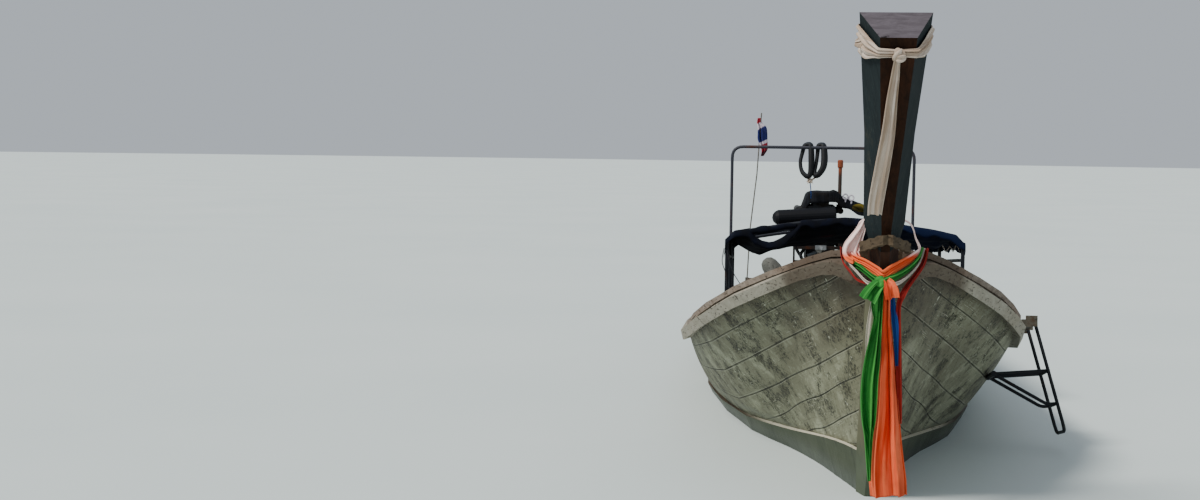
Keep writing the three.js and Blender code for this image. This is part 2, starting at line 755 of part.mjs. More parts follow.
// The slack cover lies on the arches, sags between them and hangs a little at its sides
function makeCover() {
  const [first, last] = [archPlaces[0] - 14, archPlaces[archPlaces.length - 1] + 14];
  const span = archPlaces[1] - archPlaces[0];
  const lift = canopyTube + 2;
  const rows = (thick) =>
    steps(first, last, 12).map((s) => {
      const fall = canopyDrop * (s - archPlaces[0]);
      const wave = Math.max(Math.sin((Math.PI * (s - archPlaces[0])) / span) ** 2 - 0.004, 0);
      const roof = archRows.slice(1, -1).map(([k, z]) => {
        const drop = wave * canopySag * (1 - 0.55 * k * k);
        return at(k * (canopyHalf + lift), s, z + lift - fall - drop + thick);
      });
      const side = (k) => {
        const x = k * (canopyHalf + lift + thick);
        return [at(x, s, 930 - fall - wave * 14), at(x, s, 994 - fall - wave * 40 + thick * 0.5)];
      };
      return [...side(-1), ...roof, ...side(1).reverse()];
    });
  return shell(rows(3), rows(0));
}

// Engine mount: a pin on the beam, a yoke that turns on it, ears that carry the tilting frame
const beamTop = deckTop + seat + 150;
const beamHalf = 585;
const pinRadius = 19;
const earInner = railHalf + 26;

function makeBeam() {
  return block(-beamHalf, beamHalf, pivotS - 85, pivotS + 85, deckTop + seat, beamTop);
}

function makeSwivelBase() {
  const plate = block(-105, 105, pivotS - 80, pivotS + 80, beamTop + seat, beamTop + 14);
  const pin = bar("z", at(0, pivotS, beamTop + 70), pinRadius, 120, 20);
  const collar = bar("z", at(0, pivotS, beamTop + 22), 38, 20, 20);
  return joined([plate, collar, pin]);
}

function makeYoke() {
  const low = beamTop + 32.6;
  const boss = bar("z", at(0, pivotS, low + 60), 36, 120, 20);
  const bore = bar("z", at(0, pivotS, low + 48), pinRadius + 0.5, 104, 20);
  const plateZ = low + 118;
  const bridge = block(-earInner - 16, earInner + 16, pivotS - 48, pivotS + 48, plateZ, plateZ + 16);
  const ears = [-1, 1].map((k) => {
    const [a, b] = k > 0 ? [earInner, earInner + 16] : [-earInner - 16, -earInner];
    const eye = bar("x", at((a + b) / 2, pivotS, axisZ), 40, 16, 20);
    return joined([block(a, b, pivotS - 40, pivotS + 40, plateZ, axisZ), eye]);
  });
  const holes = [-1, 1].map((k) => bar("x", at(k * (earInner + 8), pivotS, axisZ), 15.6, 40, 20));
  return cut(joined([boss, bridge, ...ears]), [bore, ...holes]);
}

const frameFront = 6240;
const frameBack = 7620;

function makeFrame() {
  const rails = [-1, 1].map((k) =>
    block(k * railHalf - 22, k * railHalf + 22, frameFront, frameBack, axisZ - 30, axisZ + 30),
  );
  const ties = [frameFront + 20, 6950, 7330, frameBack - 20].map((s) =>
    block(-railHalf, railHalf, s - 20, s + 20, axisZ - 28, s > 7500 ? axisZ + 62 : axisZ - 4),
  );
  const backHole = bar("y", at(0, frameBack - 20, axisZ), tailRadius + 0.4, 80, 20);
  const pins = bar("x", at(0, pivotS, axisZ), 15, 2 * (earInner + 18), 20);
  const pinCut = block(-railHalf + 21, railHalf - 21, pivotS - 40, pivotS + 40, axisZ - 25, axisZ + 25);
  const trunnions = cut(pins, [pinCut]);
  const [a, b] = [joined([...rails, ...ties.slice(0, 3)]), cut(ties[3], [backHole])];
  return geometryOf(solid(a).add(solid(b)).add(solid(trunnions)));
}

// Open engine: block, head and rocker cover, pan, manifolds, pulleys, generator, starter, gearbox
const blockFront = 6350;
const blockBack = 6900;
const shoulder = railHalf - 22 - 1; // inner face of a rail, less a millimetre

function makeBlock() {
  const low = block(-shoulder + 4, shoulder - 4, blockFront, blockBack, axisZ + 2, axisZ + 120);
  const skirt = block(-shoulder + 24, shoulder - 24, blockFront, blockBack, axisZ - 120, axisZ + 4);
  const high = block(-112, 112, blockFront + 6, blockBack - 6, axisZ + 118, axisZ + 250);
  const ribs = [0, 1, 2, 3, 4].map((k) =>
    block(-124, 124, blockFront + 40 + k * 112, blockFront + 56 + k * 112, axisZ + 118, axisZ + 240),
  );
  const [armStart, armEnd] = [blockFront + 190, blockFront + 290];
  const feet = [-1, 1].map((k) =>
    block(k * railHalf - 22, k * railHalf + 22, armStart - 10, armEnd + 10, axisZ + 30 + seat, axisZ + 60),
  );
  const arms = [
    block(-railHalf, -100, armStart, armEnd, axisZ + 40, axisZ + 60),
    block(100, railHalf, armStart, armEnd, axisZ + 40, axisZ + 60),
  ];
  return joined([low, skirt, high, ...ribs, ...feet, ...arms]);
}

function makeHead() {
  const base = block(-118, 118, blockFront + 8, blockBack - 8, axisZ + 250 + seat, axisZ + 320);
  const cover = block(-66, 66, blockFront + 24, blockBack - 24, axisZ + 318, axisZ + 392);
  const crown = block(-50, 50, blockFront + 34, blockBack - 34, axisZ + 390, axisZ + 404);
  const cap = bar("z", at(0, blockFront + 130, axisZ + 410), 24, 24, 12);
  return joined([base, cover, crown, cap]);
}

function makePan() {
  const half = shoulder - 24;
  const rim = block(-half, half, blockFront + 2, blockBack - 2, axisZ - 134, axisZ - 120 - seat);
  const bowl = block(-96, 96, blockFront + 60, blockBack - 60, axisZ - 200, axisZ - 133);
  return joined([rim, bowl]);
}

function makeFlywheel() {
  const housing = bar("y", at(0, blockBack + seat + 32, axisZ + 150), 108, 64, 20);
  return cut(housing, [block(-200, 200, 6800, 7100, axisZ - 100, axisZ + 58)]);
}

function makeGearbox() {
  const [a, b] = [blockBack + 64 + 2 * seat, 7330];
  const body = block(-88, 88, a, b - 60, axisZ + 60, axisZ + 214);
  const drop = block(-72, 72, 7080, 7300, axisZ - 84, axisZ + 70);
  const nose = bar("y", at(0, 7365, axisZ), 58, 150, 16);
  const top = block(-50, 50, a + 40, b - 110, axisZ + 212, axisZ + 246);
  const notch = block(-200, 200, 7308, 7352, axisZ - 30, axisZ - 2);
  return geometryOf(
    solid(joined([body, drop, nose, top])).subtract(solid(notch)),
  );
}

const portPlace = (k) => blockFront + 60 + k * 122;

function makeIntake() {
  const runners = [0, 1, 2, 3].map((k) =>
    block(-176, -118 - seat, portPlace(k), portPlace(k) + 44, axisZ + 262, axisZ + 306),
  );
  const log = bar("y", at(-186, blockFront + 262, axisZ + 284), 27, 440, 12);
  return joined([log, ...runners]);
}

function makeExhaustLog() {
  const stubs = [0, 1, 2, 3].map((k) =>
    block(118 + seat, 150, portPlace(k), portPlace(k) + 40, axisZ + 262, axisZ + 302),
  );
  const log = bar("y", at(160, blockFront + 240, axisZ + 282), 26, 420, 12);
  const flange = block(134, 186, blockFront + 196, blockFront + 252, axisZ + 300, axisZ + 318);
  return joined([log, flange, ...stubs]);
}

function makeStack() {
  const x = 160;
  const s = blockFront + 224;
  const z0 = axisZ + 318 + seat;
  const profile = [
    [0, 0],
    [16, 0],
    [16, 310],
    [24, 322],
    [24, 372],
    [17, 382],
    [0, 382],
  ].map(([r, z]) => new THREE.Vector2(r, z));
  const turn = new THREE.Matrix4().makeRotationX(Math.PI / 2).setPosition(at(x, s, z0));
  const body = plain(new THREE.LatheGeometry(profile, 14), turn);
  const foot = block(x - 26, x + 26, s - 26, s + 26, z0, z0 + 10);
  return joined([body, foot]);
}

// A long black cylinder with a domed starboard end, lying across the engine's front
function makeSilencer() {
  const r = 62;
  const profile = [
    [0, -520],
    [30, -512],
    [50, -494],
    [r, -468],
    [r, -10],
    [r - 12, 0],
    [0, 0],
  ].map(([a, b]) => new THREE.Vector2(a, b));
  const lean = new THREE.Matrix4().makeRotationY(-0.068);
  const turn = lean.multiply(new THREE.Matrix4().makeRotationZ(-Math.PI / 2 + 0.08));
  turn.setPosition(at(118, blockFront - 26 - r, axisZ + 258));
  const body = plain(new THREE.LatheGeometry(profile, 20), turn);
  const straps = [-95, 60].map((x) =>
    block(x - 12, x + 12, blockFront - 70, blockFront + 6 - seat, axisZ + 180, axisZ + 268),
  );
  return joined([body, ...straps]);
}

function makePulleys() {
  const s = blockFront - seat - 14;
  const crank = bar("y", at(0, s, axisZ + 40), 62, 28, 20);
  const belt = loft(
    [s - 9, s + 9].map((y) => {
      const rows = [
        [-56, 20],
        [-30, -16],
        [30, -16],
        [58, 20],
        [124, 108],
        [104, 132],
        [86, 128],
        [-40, 96],
      ];
      return rows.map(([x, z]) => at(x, y, axisZ + z));
    }),
  );
  return joined([crank, belt]);
}

function makeGenerator() {
  const body = bar("y", at(190, blockFront + 84, axisZ + 146), 56, 124, 16);
  const nose = bar("y", at(190, blockFront + 12, axisZ + 146), 30, 30, 12);
  const foot = block(124 + seat, 175, blockFront + 60, blockFront + 110, axisZ + 120 + seat, axisZ + 150);
  return joined([body, nose, foot]);
}

function makeStarter() {
  const body = bar("y", at(-184, blockBack - 110, axisZ + 120), 42, 190, 14);
  const foot = block(-176, -112 - seat, blockBack - 130, blockBack - 70, axisZ + 124, axisZ + 150);
  return joined([body, foot]);
}

// Tiller: a long tube that runs forward from the frame, with a grip
function makeTiller() {
  const front = frameFront - seat;
  const points = [
    at(0, front, axisZ - 12),
    at(0, front - 120, axisZ - 12),
    at(0, 5720, axisZ + 6),
    at(0, 5500, axisZ + 26),
  ];
  const pipe = tube(points, 16, { sides: 10, corner: 60 });
  const flange = block(-45, 45, front - 12, front, axisZ - 30, axisZ + 4);
  return joined([pipe, flange]);
}

// Tail: the tube that carries the propeller shaft, its fin and the propeller
const tailStart = 7441;

function makeTail() {
  const end = pivotS + tailEnd;
  const pipe = bar("y", at(0, (tailStart + end) / 2, axisZ), tailRadius, end - tailStart, 20);
  const sleeves = [7700, 8800, end - 60].map((s) => bar("y", at(0, s, axisZ), tailRadius + 7, 90, 20));
  const bore = bar("y", at(0, pivotS + tailEnd, axisZ), 15.5, 120, 20);
  return cut(joined([pipe, ...sleeves]), [bore]);
}

function makeFin() {
  const s = pivotS + tailEnd;
  const shape = new THREE.Shape(
    [
      [-470, 0],
      [-110, 0],
      [-70, -210],
      [-120, -250],
      [-200, -200],
    ].map(([y, z]) => new THREE.Vector2(y, z)),
  );
  const g = new THREE.ExtrudeGeometry(shape, { depth: 8, bevelEnabled: false });
  const basis = new THREE.Matrix4().makeBasis(
    new THREE.Vector3(0, 1, 0),
    new THREE.Vector3(0, 0, 1),
    new THREE.Vector3(1, 0, 0),
  );
  const plate = plain(g, basis.setPosition(at(-4, s, axisZ - tailRadius + 4)));
  return trimmed(plate, [bar("y", at(0, s - 300, axisZ), tailRadius + seat, 500, 20)]);
}

function makePropeller() {
  const s = pivotS + tailEnd;
  const shaft = bar("y", at(0, s + 10, axisZ), 15, 100, 20);
  const hub = bar("y", at(0, s + 52, axisZ), 34, 88, 20);
  const nut = bar("y", at(0, s + 110, axisZ), 18, 40, 6);
  const blades = [0, 1, 2].map((k) => {
    const rings = [
      [24, 30, 0.95],
      [60, 46, 0.8],
      [105, 50, 0.62],
      [138, 34, 0.5],
      [propRadius, 14, 0.46],
    ].map(([r, half, pitch]) => {
      const corners = [
        [-half, -3.5],
        [half, -2],
        [half, 2],
        [-half, 3.5],
      ];
      return corners.map(([c, t]) => {
        const y = s + 52 + c * Math.sin(pitch) + t * Math.cos(pitch);
        const w = c * Math.cos(pitch) - t * Math.sin(pitch);
        const a = (2 * Math.PI * k) / 3;
        return at(w * Math.cos(a) - r * Math.sin(a), y, axisZ + w * Math.sin(a) + r * Math.cos(a));
      });
    });
    return loft(rings);
  });
  return joined([hub, shaft, nut, ...blades]);
}

// Boarding ladder on the port side, hung on a pin along the rail.
// Its own frame: first axis along the rail aft, second outward, third upward
const ladderS = 1330;
const ladderTurn = 0.105; // the pin lies this much nearer to fore and aft than the rail

function ladderFrame() {
  const u = stationAt(ladderS, 2);
  const [a, b] = [hull(u - 0.1, 2), hull(u + 0.1, 2)];
  const aft = b.clone().sub(a).normalize().applyAxisAngle(new THREE.Vector3(0, 0, 1), ladderTurn);
  const outward = new THREE.Vector3(0, 0, 1).cross(aft).negate().normalize();
  const upward = aft.clone().cross(outward).negate();
  if (upward.z < 0) upward.negate();
  const face = skin(u, below(u, (rubTop + rubBottom) / 2), -sideInset + seat + rubThick);
  return { aft, outward, upward, face };
}

const ladder = ladderFrame();
function ladderPoint(a, o, z) {
  const p = ladder.face.clone().addScaledVector(ladder.aft, a);
  return p.addScaledVector(ladder.outward, o).addScaledVector(ladder.upward, z);
}
const ladderPin = { out: 20, up: 66 };
const stileHalf = 140;

function localBox(a0, a1, o0, o1, z0, z1) {
  const corners = [
    [o0, z0],
    [o1, z0],
    [o1, z1],
    [o0, z1],
  ];
  const ring = (a) => corners.map(([o, z]) => ladderPoint(a, o, z));
  return loft([ring(a0), ring(a1)]);
}

function makeLadderHinge() {
  const { out, up } = ladderPin;
  const lugs = [-175, 0, 175].map((a) => localBox(a - 10, a + 10, out - 45, out + 12, up - 42, up + 12));
  const plate = localBox(-190, 190, -50, 2, up - 48, up - 32);
  const pin = tube([ladderPoint(-190, out, up), ladderPoint(190, out, up)], 7, { sides: 12 });
  return trimmed(joined([...lugs, plate, pin]), [makeRub(seat), makeCap(seat)]);
}

// Columns: outward and upward from the pin, for the top, the rungs and the foot of a stile
const ladderRungs = [
  [71, -259],
  [115, -424],
];
const ladderFoot = [153, -563];
const ladderBumper = [-199.2, -284];

function makeLadder() {
  const r = 9;
  const spot = (a, [o, z]) => ladderPoint(a, ladderPin.out + o, ladderPin.up + z);
  const top = [0, -6];
  const rail = tube(
    [
      spot(-stileHalf, top),
      spot(-stileHalf, ladderFoot),
      spot(stileHalf, ladderFoot),
      spot(stileHalf, top),
    ],
    r,
    { corner: 45, sides: 8 },
  );
  const level = (row, half, radius) => tube([spot(-half, row), spot(half, row)], radius, { sides: 8 });
  const rungs = ladderRungs.map((row) => level(row, stileHalf, r));
  const { out, up } = ladderPin;
  const eyes = [-1, 1].map((k) =>
    localBox(k * stileHalf - 16, k * stileHalf + 16, out - 15, out + 15, up - 16, up + 15),
  );
  const [upper, lower] = ladderRungs;
  const rests = [-110, 110].flatMap((a) => [
    tube([spot(a, upper), spot(a, ladderBumper)], r, { sides: 8 }),
    tube([spot(a, lower), spot(a, [70, -430]), spot(a, ladderBumper)], r, { corner: 30 }),
  ]);
  const pad = level(ladderBumper, 140, 15);
  const bores = tube([spot(-220, [0, 0]), spot(220, [0, 0])], 8, { sides: 12 });
  return cut(joined([rail, ...rungs, ...eyes, ...rests, pad]), [bores]);
}

// Staff with a furled flag, on the starboard gunwale near the stern
const staffFoot = [-600, 7450];
function staffPole(grow = 0) {
  const z = hull(stationAt(staffFoot[1], 2), 2).z;
  const [x, s] = staffFoot;
  const points = [at(x, s, z + 3), at(x + 18, s, 800), at(x + 70, s, 1300), at(x + 100, s, 1840 + grow)];
  return tube(points, 6 + grow, { sides: 8 });
}

function makeStaff() {
  const z = hull(stationAt(staffFoot[1], 2), 2).z;
  const [x, s] = staffFoot;
  return joined([staffPole(), block(x - 16, x + 16, s - 16, s + 16, z + 0.8, z + 40)]);
}

function makeFlag() {
  const [x, s] = [staffFoot[0] + 118, staffFoot[1]];
  const rows = [
    [0, 1430, 14],
    [-6, 1530, 26],
    [-2, 1660, 30],
    [-14, 1780, 22],
    [-12, 1836, 12],
  ];
  const bundle = rows.map(([dx, z, w]) => {
    const [x0, x1] = [x + dx - w * 0.35, x + dx + w];
    return [at(x0, s - w, z), at(x1, s - w, z), at(x1, s + w, z), at(x0, s + w, z)];
  });
  return trimmed(loft(bundle), [staffPole(seat)]);
}

// Sash: a band round the post head, and the tail that hangs from its knot
function postAt(t) {
  const i = Math.min(Math.max(Math.floor(t), 0), postRows.length - 2);
  return postRows[i].map((value, c) => mix(value, postRows[i + 1][c], t - i));
}

function postRing(t, grow, thick = 0) {
  const [bs, bz, bw, fs, fz, fw] = postAt(t);
  const g = grow + thick;
  const [back, front] = [bw / 2 + g, fw / 2 + g];
  return [at(-back, bs + g, bz), at(back, bs + g, bz), at(front, fs - g, fz), at(-front, fs - g, fz)];
}

function makeSash() {
  const outer = loft([postRing(1.74, 1.4, 20), postRing(1.94, 1.4, 16)]);
  const inner = loft([postRing(1.66, 1.4), postRing(1.9, 1.4), postRing(2, 1.4)]);
  const tail = loft(
    [
      [2, 1.84, 32],
      [-8, 1.4, 46],
      [-20, 0.95, 64],
      [-34, 0.5, 70],
      [-44, 0.12, 58],
    ].map(([x, t, w]) => {
      const [, , , fs, fz] = postAt(t);
      const [x0, x1, s1] = [x - w / 2, x + w / 2, fs - 12];
      return [at(x0, s1 - 10, fz), at(x1, s1 - 10, fz), at(x1, s1, fz), at(x0, s1, fz)];
    }),
  );
  return geometryOf(solid(outer).subtract(solid(inner)).add(solid(tail)));
}

// Garland: a loop round the back of the post, over both sides of the bow, to a knot before the stem
function makeGarland() {
  const [back, front] = [at(0, -438, 1236), at(0, -540, 1000)];
  const half = (k) => [
    back,
    at(k * 108, -418, 1216),
    at(k * 196, -366, 1150),
    at(k * 206, -398, 1082),
    at(k * 112, -492, 1022),
    front,
  ];
  const loops = [-1, 1].map((k) => tube(half(k), 15, { sides: 6, corner: 40, steps: 2 }));
  const knot = plain(new THREE.SphereGeometry(40, 12, 8), new THREE.Matrix4().setPosition(front));
  const tails = [
    [-52, 82, 190],
    [34, 96, 118],
  ].map(([x, w, low]) =>
    loft(
      [
        [x * 0.3, 34, 1000],
        [x * 0.7, w * 0.6, 820],
        [x, w * 0.8, 520],
        [x, w, low],
      ].map(([cx, cw, z]) => {
        const [x0, x1] = [cx - cw / 2, cx + cw / 2];
        return [at(x0, -568, z), at(x1, -568, z), at(x1, -550, z), at(x0, -550, z)];
      }),
    ),
  );
  const post = loft([postRing(-0.2, seat), postRing(1, seat)]);
  return trimmed(joined([...loops, knot, ...tails]), [makeBackbone(seat).geometry, post]);
}

// The assembly
const sidePort = makeSide();
const railPort = makeRub();
const capPort = makeCap();
const backbone = makeBackbone();
const framing = makeFraming();

piece("backbone", backbone.geometry, materials.postPaint);
piece("bottom_planking", makeBottom(), materials.bottomWood);
piece("side_planking_port", sidePort, materials.plank);
piece("side_planking_starboard", flip(sidePort), materials.plank);
piece("rubrail_port", railPort, materials.rail);
piece("rubrail_starboard", flip(railPort), materials.rail);
piece("gunwale_cap_port", capPort, materials.capWood);
piece("gunwale_cap_starboard", flip(capPort), materials.capWood);
piece("transom", makeTransom(), materials.plank);
piece("prow_post", makePost(backbone.top), materials.postPaint);
piece("bow_beam", makeBowBeam(), materials.innerWood);
piece("mooring_post", makeMooringPost(), materials.rail);
["fore", "mid", "aft"].forEach((end, i) => {
  piece("floor_frames_" + end, framing.floors[i], materials.innerWood);
});
piece("framing_port", framing.port, materials.innerWood);
piece("framing_starboard", framing.starboard, materials.innerWood);
piece("foredeck", makeForedeck(), materials.innerWood);
piece("aft_deck", makeAftDeck(), materials.innerWood);
piece("floorboards", makeFloor(), materials.innerWood);
thwartPlaces.forEach((s, i) => {
  const [s0, s1] = [s - thwartWidth / 2, s + thwartWidth / 2];
  const board = crossBoard(s0, s1, thwartTop - thwartThick, thwartTop, -sideInset - sideThick + 12);
  piece("thwart_" + (i + 1), seatInHull(board), materials.innerWood);
});
piece("engine_beam", makeBeam(), materials.innerWood);
piece("swivel_base", makeSwivelBase(), materials.rustySteel);
piece("stern_hoop", makeHoop(), materials.hoopSteel);
piece("engine_sling", makeSling(), materials.rubber);
piece("canopy_frame", makeCanopyFrame(), materials.blackSteel);
piece("canopy_cover", makeCover(), materials.tarp);
piece("flag_staff", makeStaff(), materials.staffWood);
piece("flag", makeFlag(), materials.flagCloth);
piece("ladder_hinge", makeLadderHinge(), materials.blackSteel);
piece("sash", makeSash(), materials.sashCloth);
piece("garland", makeGarland(), materials.garlandCloth);

piece("yoke", makeYoke(), materials.rustySteel);

piece("engine_frame", makeFrame(), materials.rustySteel);
piece("engine_block", makeBlock(), materials.engineIron);
piece("cylinder_head", makeHead(), materials.aluminium);
piece("oil_pan", makePan(), materials.engineIron);
piece("flywheel_housing", makeFlywheel(), materials.aluminium);
piece("gearbox", makeGearbox(), materials.engineIron);
piece("intake_manifold", makeIntake(), materials.aluminium);
piece("exhaust_manifold", makeExhaustLog(), materials.rustySteel);
piece("exhaust_stack", makeStack(), materials.rustySteel);
piece("silencer", makeSilencer(), materials.blackGloss);
piece("belt_drive", makePulleys(), materials.engineIron);
piece("generator", makeGenerator(), materials.aluminium);
piece("starter", makeStarter(), materials.engineIron);
piece("tiller", makeTiller(), materials.galvanised);
piece("tail_tube", makeTail(), materials.galvanised);
piece("tail_fin", makeFin(), materials.galvanised);

piece("propeller", makePropeller(), materials.bronze);

piece("ladder", makeLadder(), materials.blackSteel);

export default group;
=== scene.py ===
import math

import bpy
import numpy as np
from mathutils import Matrix, Vector


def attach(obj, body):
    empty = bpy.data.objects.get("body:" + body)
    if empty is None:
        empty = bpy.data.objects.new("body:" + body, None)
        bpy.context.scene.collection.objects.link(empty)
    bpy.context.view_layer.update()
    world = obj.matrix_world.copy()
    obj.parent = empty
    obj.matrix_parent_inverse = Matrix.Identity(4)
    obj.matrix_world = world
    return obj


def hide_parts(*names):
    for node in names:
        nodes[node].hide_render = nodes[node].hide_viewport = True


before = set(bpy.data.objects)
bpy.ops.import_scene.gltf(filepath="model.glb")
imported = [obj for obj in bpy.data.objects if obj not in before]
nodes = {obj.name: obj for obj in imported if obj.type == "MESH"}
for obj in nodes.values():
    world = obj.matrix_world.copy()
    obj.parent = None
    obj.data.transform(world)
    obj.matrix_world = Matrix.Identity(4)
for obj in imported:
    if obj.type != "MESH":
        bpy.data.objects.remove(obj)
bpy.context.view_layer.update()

# The stem foot's y, from which the hull lines' s is measured
stemFoot = -3.5

# Camera: the solved view of the boat in pixels of a picture of this width; its place in metres from the stem foot
lens = {
    "focal": 1650.0,
    "width": 1200,
    "middle": 250,
    "row": 145.11,
    "roll": 0.0141,
    "yaw": 0.0952,
    "side": 1.2063,
    "back": 7.2095,
    "eye": 1.5346,
    "sensor": 36,
    "far": 300,
}


def show(name, data):
    thing = bpy.data.objects.new(name, data)
    bpy.context.scene.collection.objects.link(thing)
    return thing


def makeCamera():
    turn = math.atan(lens["yaw"])
    pitch = math.atan((lens["middle"] - lens["row"]) / lens["focal"])
    right = Vector((math.cos(turn), math.sin(turn), 0))
    ahead = Vector((-math.sin(turn), math.cos(turn), 0))
    up = Vector((0, 0, 1))
    look = ahead * math.cos(pitch) - up * math.sin(pitch)
    top = ahead * math.sin(pitch) + up * math.cos(pitch)
    tilt = -lens["roll"]
    x = right * math.cos(tilt) - top * math.sin(tilt)
    y = right * math.sin(tilt) + top * math.cos(tilt)
    place = Vector((0, stemFoot, lens["eye"])) - right * lens["side"] - ahead * lens["back"]
    data = bpy.data.cameras.new("camera")
    data.lens = lens["sensor"] * lens["focal"] / lens["width"]
    data.sensor_width = lens["sensor"]
    data.sensor_fit = "HORIZONTAL"
    data.clip_end = lens["far"]
    camera = show("camera", data)
    camera.matrix_world = Matrix.Translation(place) @ Matrix((x, y, -look)).transposed().to_4x4()
    bpy.context.scene.camera = camera


makeCamera()
print("camera")


# One sum of shader sockets, as a method of Wire
def term(operation, swapped=False, clamp=False):
    def act(self, *others):
        values = (self, *others)
        plugs = dict(enumerate(values[::-1] if swapped else values))
        return self.make("Math", plugs, operation=operation, use_clamp=clamp)

    return act


# A shader socket that takes part in sums
class Wire:
    def __init__(self, tree, socket):
        self.tree = tree
        self.socket = socket

    def make(self, kind, plugs, out=0, **settings):
        node = self.tree.nodes.new("ShaderNode" + kind)
        for key, value in settings.items():
            setattr(node, key, value)
        for key, value in plugs.items():
            if isinstance(value, Wire):
                self.tree.links.new(value.socket, node.inputs[key])
            else:
                node.inputs[key].default_value = value
        return Wire(self.tree, node.outputs[out])

    __add__ = __radd__ = term("ADD")
    __sub__ = term("SUBTRACT")
    __rsub__ = term("SUBTRACT", swapped=True)
    __mul__ = term("MULTIPLY")
    __truediv__ = term("DIVIDE")
    __pow__ = term("POWER")
    abs = term("ABSOLUTE")
    floor = term("FLOOR")
    sin = term("SINE")
    most = term("MAXIMUM")
    fold = term("PINGPONG")
    clamped = term("ADD", clamp=True)

    def clip(self):
        return self.clamped(0.0)

    # 0 under low, 1 over high, smooth between
    def ramp(self, low, high):
        plugs = {0: self, 1: low, 2: high, 3: 0.0, 4: 1.0}
        return self.make("MapRange", plugs, interpolation_type="SMOOTHSTEP")

    # distance to the nearest multiple of step
    def nearest(self, step):
        return self.fold(step / 2)

    def part(self, axis):
        return self.make("SeparateXYZ", {0: self}, out=axis)

    def stretch(self, x, y, z):
        return self.make("VectorMath", {0: self, 1: (x, y, z)}, operation="MULTIPLY")

    def noise(self, scale, detail=4.0, rough=0.55, warp=0.0):
        plugs = {"Vector": self, "Scale": scale, "Detail": detail, "Roughness": rough, "Distortion": warp}
        return self.make("TexNoise", plugs)

    def hash(self):
        return self.make("TexWhiteNoise", {"W": self}, out="Value", noise_dimensions="1D")


# Linear colour of a hexadecimal code
def tint(code):
    channels = [int(code[k : k + 2], 16) / 255 for k in (0, 2, 4)]
    return (*[c / 12.92 if c <= 0.04045 else ((c + 0.055) / 1.055) ** 2.4 for c in channels], 1.0)


# From a to b by t, held within 0 and 1; a and b are colours or codes
def blend(a, b, t):
    near = next(v for v in (t, a, b) if isinstance(v, Wire))
    a, b = (tint(v) if isinstance(v, str) else v for v in (a, b))
    return near.make("Mix", {0: t, 6: a, 7: b}, out=2, data_type="RGBA")


# Material from a look, which gives its colour, its roughness and, unless it is flat, a height and the height's depth
def surface(name, look, shine=0.5, metallic=0.0, uv=False):
    material = bpy.data.materials.new(name)
    material.use_nodes = True
    tree = material.node_tree
    shader = tree.nodes["Principled BSDF"]
    shader.inputs["Metallic"].default_value = metallic
    shader.inputs["Specular IOR Level"].default_value = shine
    place = tree.nodes.new("ShaderNodeTexCoord")
    geometry = tree.nodes.new("ShaderNodeNewGeometry")
    p = Wire(tree, place.outputs["Object"])
    extra = {"normal": Wire(tree, geometry.outputs["Normal"])}
    if uv:
        extra["uv"] = Wire(tree, place.outputs["UV"])
    color, rough, *relief = look(p, **extra)
    found = {"Base Color": color, "Roughness": rough}
    if relief:
        found["Normal"] = p.make("Bump", {"Height": relief[0], "Distance": relief[1], "Strength": 1.0})
    for key, value in found.items():
        if isinstance(value, Wire):
            tree.links.new(value.socket, shader.inputs[key])
        else:
            shader.inputs[key].default_value = value
    return material


# Mesh pieces: a patch is (points, faces, uv), and build joins patches into one object
def build(name, patches, material, body="hull", rounded=True, replaces=()):
    points = np.concatenate([patch[0] for patch in patches])
    faces, uvs, start = [], [], 0
    for p, f, uv in patches:
        for block in f:
            faces += (np.asarray(block) + start).tolist()
        uvs.append(np.zeros((len(p), 2)) if uv is None else uv)
        start += len(p)
    mesh = bpy.data.meshes.new(name)
    mesh.from_pydata(points.tolist(), [], faces)
    loops = np.zeros(len(mesh.loops), np.int32)
    mesh.loops.foreach_get("vertex_index", loops)
    uv = np.concatenate(uvs)[loops].astype(np.float32)
    mesh.uv_layers.new(name="cloth").data.foreach_set("uv", uv.ravel())
    mesh.polygons.foreach_set("use_smooth", np.full(len(mesh.polygons), rounded))
    mesh.materials.append(material)
    mesh.update()
    piece = show(name, mesh)
    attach(piece, body)
    if replaces:
        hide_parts(*replaces)
    return piece


# Quads of a grid of rows by columns, wrapped round in either direction
def quads(rows, columns, wrapRows=False, wrapColumns=False):
    across = np.arange(columns if wrapColumns else columns - 1)
    i, j = np.meshgrid(np.arange(rows if wrapRows else rows - 1), across, indexing="ij")
    i2, j2 = (i + 1) % rows, (j + 1) % columns
    return np.stack([i * columns + j, i2 * columns + j, i2 * columns + j2, i * columns + j2], -1).reshape(-1, 4)


# Distances along a line from its start
def lengths(points):
    step = np.linalg.norm(np.diff(points, axis=0), axis=-1)
    return np.concatenate([[0], np.cumsum(step)])


def unit(v):
    return v / (np.linalg.norm(v, axis=-1, keepdims=True) + 1e-12)


# Two fields side by side in a last axis
def paired(u, v):
    return np.stack(np.broadcast_arrays(u, v), -1)


# Value at f between p1 and p2 on a smooth line through p0, p1, p2 and p3
def smooth(p0, p1, p2, p3, f):
    bend = 2 * p0 - 5 * p1 + 4 * p2 - p3
    return 0.5 * (2 * p1 + (p2 - p0) * f + bend * f**2 + (3 * p1 - p0 - 3 * p2 + p3) * f**3)


# A smooth line through control points, n points a uniform distance apart; columns after z follow it
def curveThrough(controls, n):
    c = np.asarray(controls, float)
    a = np.vstack([2 * c[0] - c[1], c, 2 * c[-1] - c[-2]])
    k = np.linspace(0, len(c) - 1, 40 * len(c))
    i = np.minimum(k.astype(int), len(c) - 2)
    f = (k - i)[:, None]
    fine = smooth(a[i], a[i + 1], a[i + 2], a[i + 3], f)
    t = lengths(fine[:, :3])
    want = np.linspace(0, t[-1], n)
    return np.stack([np.interp(want, t, fine[:, q]) for q in range(c.shape[1])], -1)


